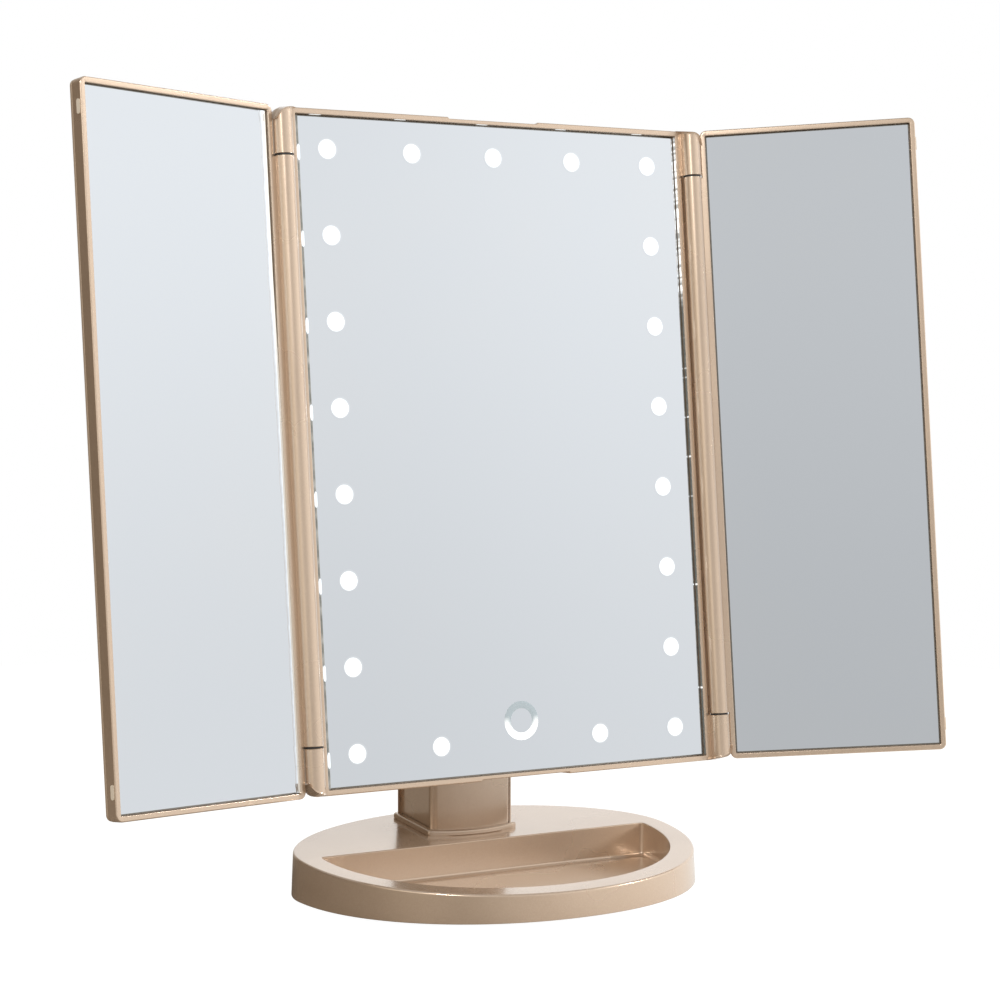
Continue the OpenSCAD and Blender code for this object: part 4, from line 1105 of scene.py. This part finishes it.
# Painted shade on the table top, as the object reflects it: its level at each azimuth, darker toward the
# left
TABLE_PAINTED_SHADE = (
    (0, 1.0, 1.0, 0.99), (60, 0.9, 0.9, 0.9), (110, 0.30, 0.25, 0.20), (150, 0.12, 0.085, 0.06),
    (200, 0.13, 0.095, 0.065), (235, 0.22, 0.18, 0.14), (262, 0.52, 0.48, 0.44), (290, 0.74, 0.72, 0.70),
    (325, 0.92, 0.92, 0.91),
)
STUDIO_PEAK = 1.3
ROOM_OVERHEAD = 0.42
TABLE_OVERHEAD = 1.0
FULL_WHITE = (1, 1, 1, 1)
ROOM_DIFFUSE = (0.36, 0.325, 0.27, 1)
FLOOR_PAINT = (0.82, 0.82, 0.82, 1)
FLOOR_DIFFUSE = (0.52, 0.46, 0.38, 1)
FLOOR_GLOW = 1.22
FLOOR_R = 0.75


def build_level_group(name, stops, over):
    """A level for each direction: its own for each azimuth, fading into another overhead."""
    tree, n, given, out = group_of(name, {"Vector": "Vector"}, {"Color": "Color"})
    x, y, z = n.add("ShaderNodeSeparateXYZ", {"Vector": given["Vector"]}).outputs
    turn = n.maths("DIVIDE", n.maths("ARCTAN2", y, x), 2 * np.pi)
    node = n.add("ShaderNodeValToRGB", {"Fac": n.maths("FRACT", n.maths("ADD", turn, 1.0))})
    ramp = node.color_ramp
    ramp.interpolation = "EASE"
    ramp.elements.remove(ramp.elements[-1])
    ramp.elements[0].position = 0.0
    ramp.elements[0].color = (*(c / STUDIO_PEAK for c in stops[0][1:]), 1)
    for degrees, *level in (*stops[1:], (360, *stops[0][1:])):
        ramp.elements.new(degrees / 360).color = (*(c / STUDIO_PEAK for c in level), 1)
    darker = n.between(z, 0.0, 0.28, 0.86, 1.0)
    side = {0: node.outputs["Color"], "Scale": darker}
    side = n.add("ShaderNodeVectorMath", side, operation="SCALE").outputs[0]
    top = over / STUDIO_PEAK
    n.fill(out, {"Color": n.mixed(n.between(z, 0.36, 0.75), side, (top, top, top, 1))})
    return tree


def blend(n, share, first, second, output):
    """Joins two shaders, by the second one's share, into an output node."""
    both = n.add("ShaderNodeMixShader", {0: share, 1: first.outputs[0], 2: second.outputs[0]})
    n.add(output, {"Surface": both.outputs[0]})


def light_paths(n):
    """What a ray is: seen by the camera, straight or through glass, or diffuse, or mirrored."""
    path = n.add("ShaderNodeLightPath").outputs
    seen = n.maths("MAXIMUM", path["Is Camera Ray"], path["Is Transmission Ray"])
    return seen, path["Is Diffuse Ray"], path["Is Glossy Ray"]


def studio_world():
    """A white surround for the camera. Reflections and soft light come from the studio."""
    world = bpy.data.worlds.new("studio")
    bpy.context.scene.world = world
    world.use_nodes = True
    world.node_tree.nodes.clear()
    n = Nodes(world.node_tree)
    way = n.add("ShaderNodeTexCoord").outputs["Generated"]
    seen, diffuse, _ = light_paths(n)
    level = placed_group(n, build_level_group("room_level", ROOM, ROOM_OVERHEAD), way)["Color"]
    studio = {"Color": n.mixed(diffuse, level, ROOM_DIFFUSE), "Strength": STUDIO_PEAK}
    studio = n.add("ShaderNodeBackground", studio)
    white = n.add("ShaderNodeBackground", {"Color": FULL_WHITE, "Strength": 1.0})
    blend(n, seen, studio, white, "ShaderNodeOutputWorld")


def studio_floor():
    """A pale round floor: white where it is seen, with the object's soft shadow kept on it, and where
    the object reflects it, painted with the table's level for each azimuth: painted shade toward the left."""
    mesh = bpy.data.meshes.new("floor")
    a = np.linspace(0, 2 * np.pi, 96, endpoint=False)
    disc = np.stack([FLOOR_R * np.cos(a), FLOOR_R * np.sin(a), 0 * a], -1)
    mesh.from_pydata(disc.tolist(), [], [list(range(len(a)))])
    in_scene("floor", mesh)
    mat = bpy.data.materials.new("floor_white")
    mat.use_nodes = True
    mat.node_tree.nodes.clear()
    n = Nodes(mat.node_tree)
    where = n.add("ShaderNodeTexCoord").outputs["Object"]
    seen, diffuse, mirrored = light_paths(n)
    paint = n.add("ShaderNodeBsdfDiffuse", {"Color": n.mixed(diffuse, FLOOR_PAINT, FLOOR_DIFFUSE)})
    # Painted shade: the floor's level in reflections, darker toward the left.
    level = placed_group(n, build_level_group("table_painted_shade", TABLE_PAINTED_SHADE, TABLE_OVERHEAD), where)["Color"]
    glow = n.add("ShaderNodeEmission", {
        "Color": n.mixed(mirrored, FULL_WHITE, level),
        "Strength": n.maths("MULTIPLY_ADD", mirrored, 0.1, FLOOR_GLOW),
    })
    share = n.maths("MULTIPLY_ADD", mirrored, 0.85, n.maths("MULTIPLY", seen, 0.80))
    blend(n, share, paint, glow, "ShaderNodeOutputMaterial")
    mat.cycles.emission_sampling = "NONE"
    mesh.materials.append(mat)


def soft_lamp(name, place, target, size, watts):
    """A square soft lamp that faces a point."""
    data = bpy.data.lights.new(name, "AREA")
    data.size = size
    data.energy = watts
    lamp = in_scene(name, data)
    lamp.location = place
    lamp.rotation_mode = "QUATERNION"
    lamp.rotation_quaternion = (Vector(target) - Vector(place)).to_track_quat("-Z", "Y")
    return lamp


# The fitted camera, in pixels of a picture 1000 wide and in millimetres
PICTURE = 1000
FOCAL = 2302.69
AXIS_X = 443.86
AXIS_Y = 588.72
DISTANCE = 864.39 * MM
VIEW_YAW, VIEW_PITCH = np.radians((28.709, -5.042))
SENSOR = 36


def photo_camera():
    """The photograph's viewpoint: yaw and pitch of the view, the distance to a point near the
    mirror's middle, and the frame's place as a shift."""
    yaw, pitch = VIEW_YAW, VIEW_PITCH
    target = Vector((-19.891, 0, 113.819)) * MM
    look = Vector((np.sin(yaw) * np.cos(pitch), np.cos(yaw) * np.cos(pitch), np.sin(pitch)))
    data = bpy.data.cameras.new("camera")
    data.sensor_width = SENSOR
    data.lens = SENSOR * FOCAL / PICTURE
    data.shift_x = (PICTURE / 2 - AXIS_X) / PICTURE
    data.shift_y = (AXIS_Y - PICTURE / 2) / PICTURE
    data.clip_start = 0.01
    data.clip_end = 20
    camera = in_scene("camera", data)
    camera.location = target - look * DISTANCE
    camera.rotation_mode = "QUATERNION"
    camera.rotation_quaternion = look.to_track_quat("-Z", "Y")
    bpy.context.scene.camera = camera


studio_world()
studio_floor()
key = soft_lamp("key_lamp", (1.0, -0.58, 0.36), (0, 0, 0.03), 0.22, 15)
key.visible_glossy = False
soft_lamp("left_lamp", (-0.80, -1.02, 0.93), (0, 0, 0.15), 0.16, 6.5)
soft_lamp("right_lamp", (1.18, -0.53, 0.93), (0, 0, 0.15), 0.12, 4.0)
photo_camera()
bpy.context.scene.view_settings.view_transform = "Standard"
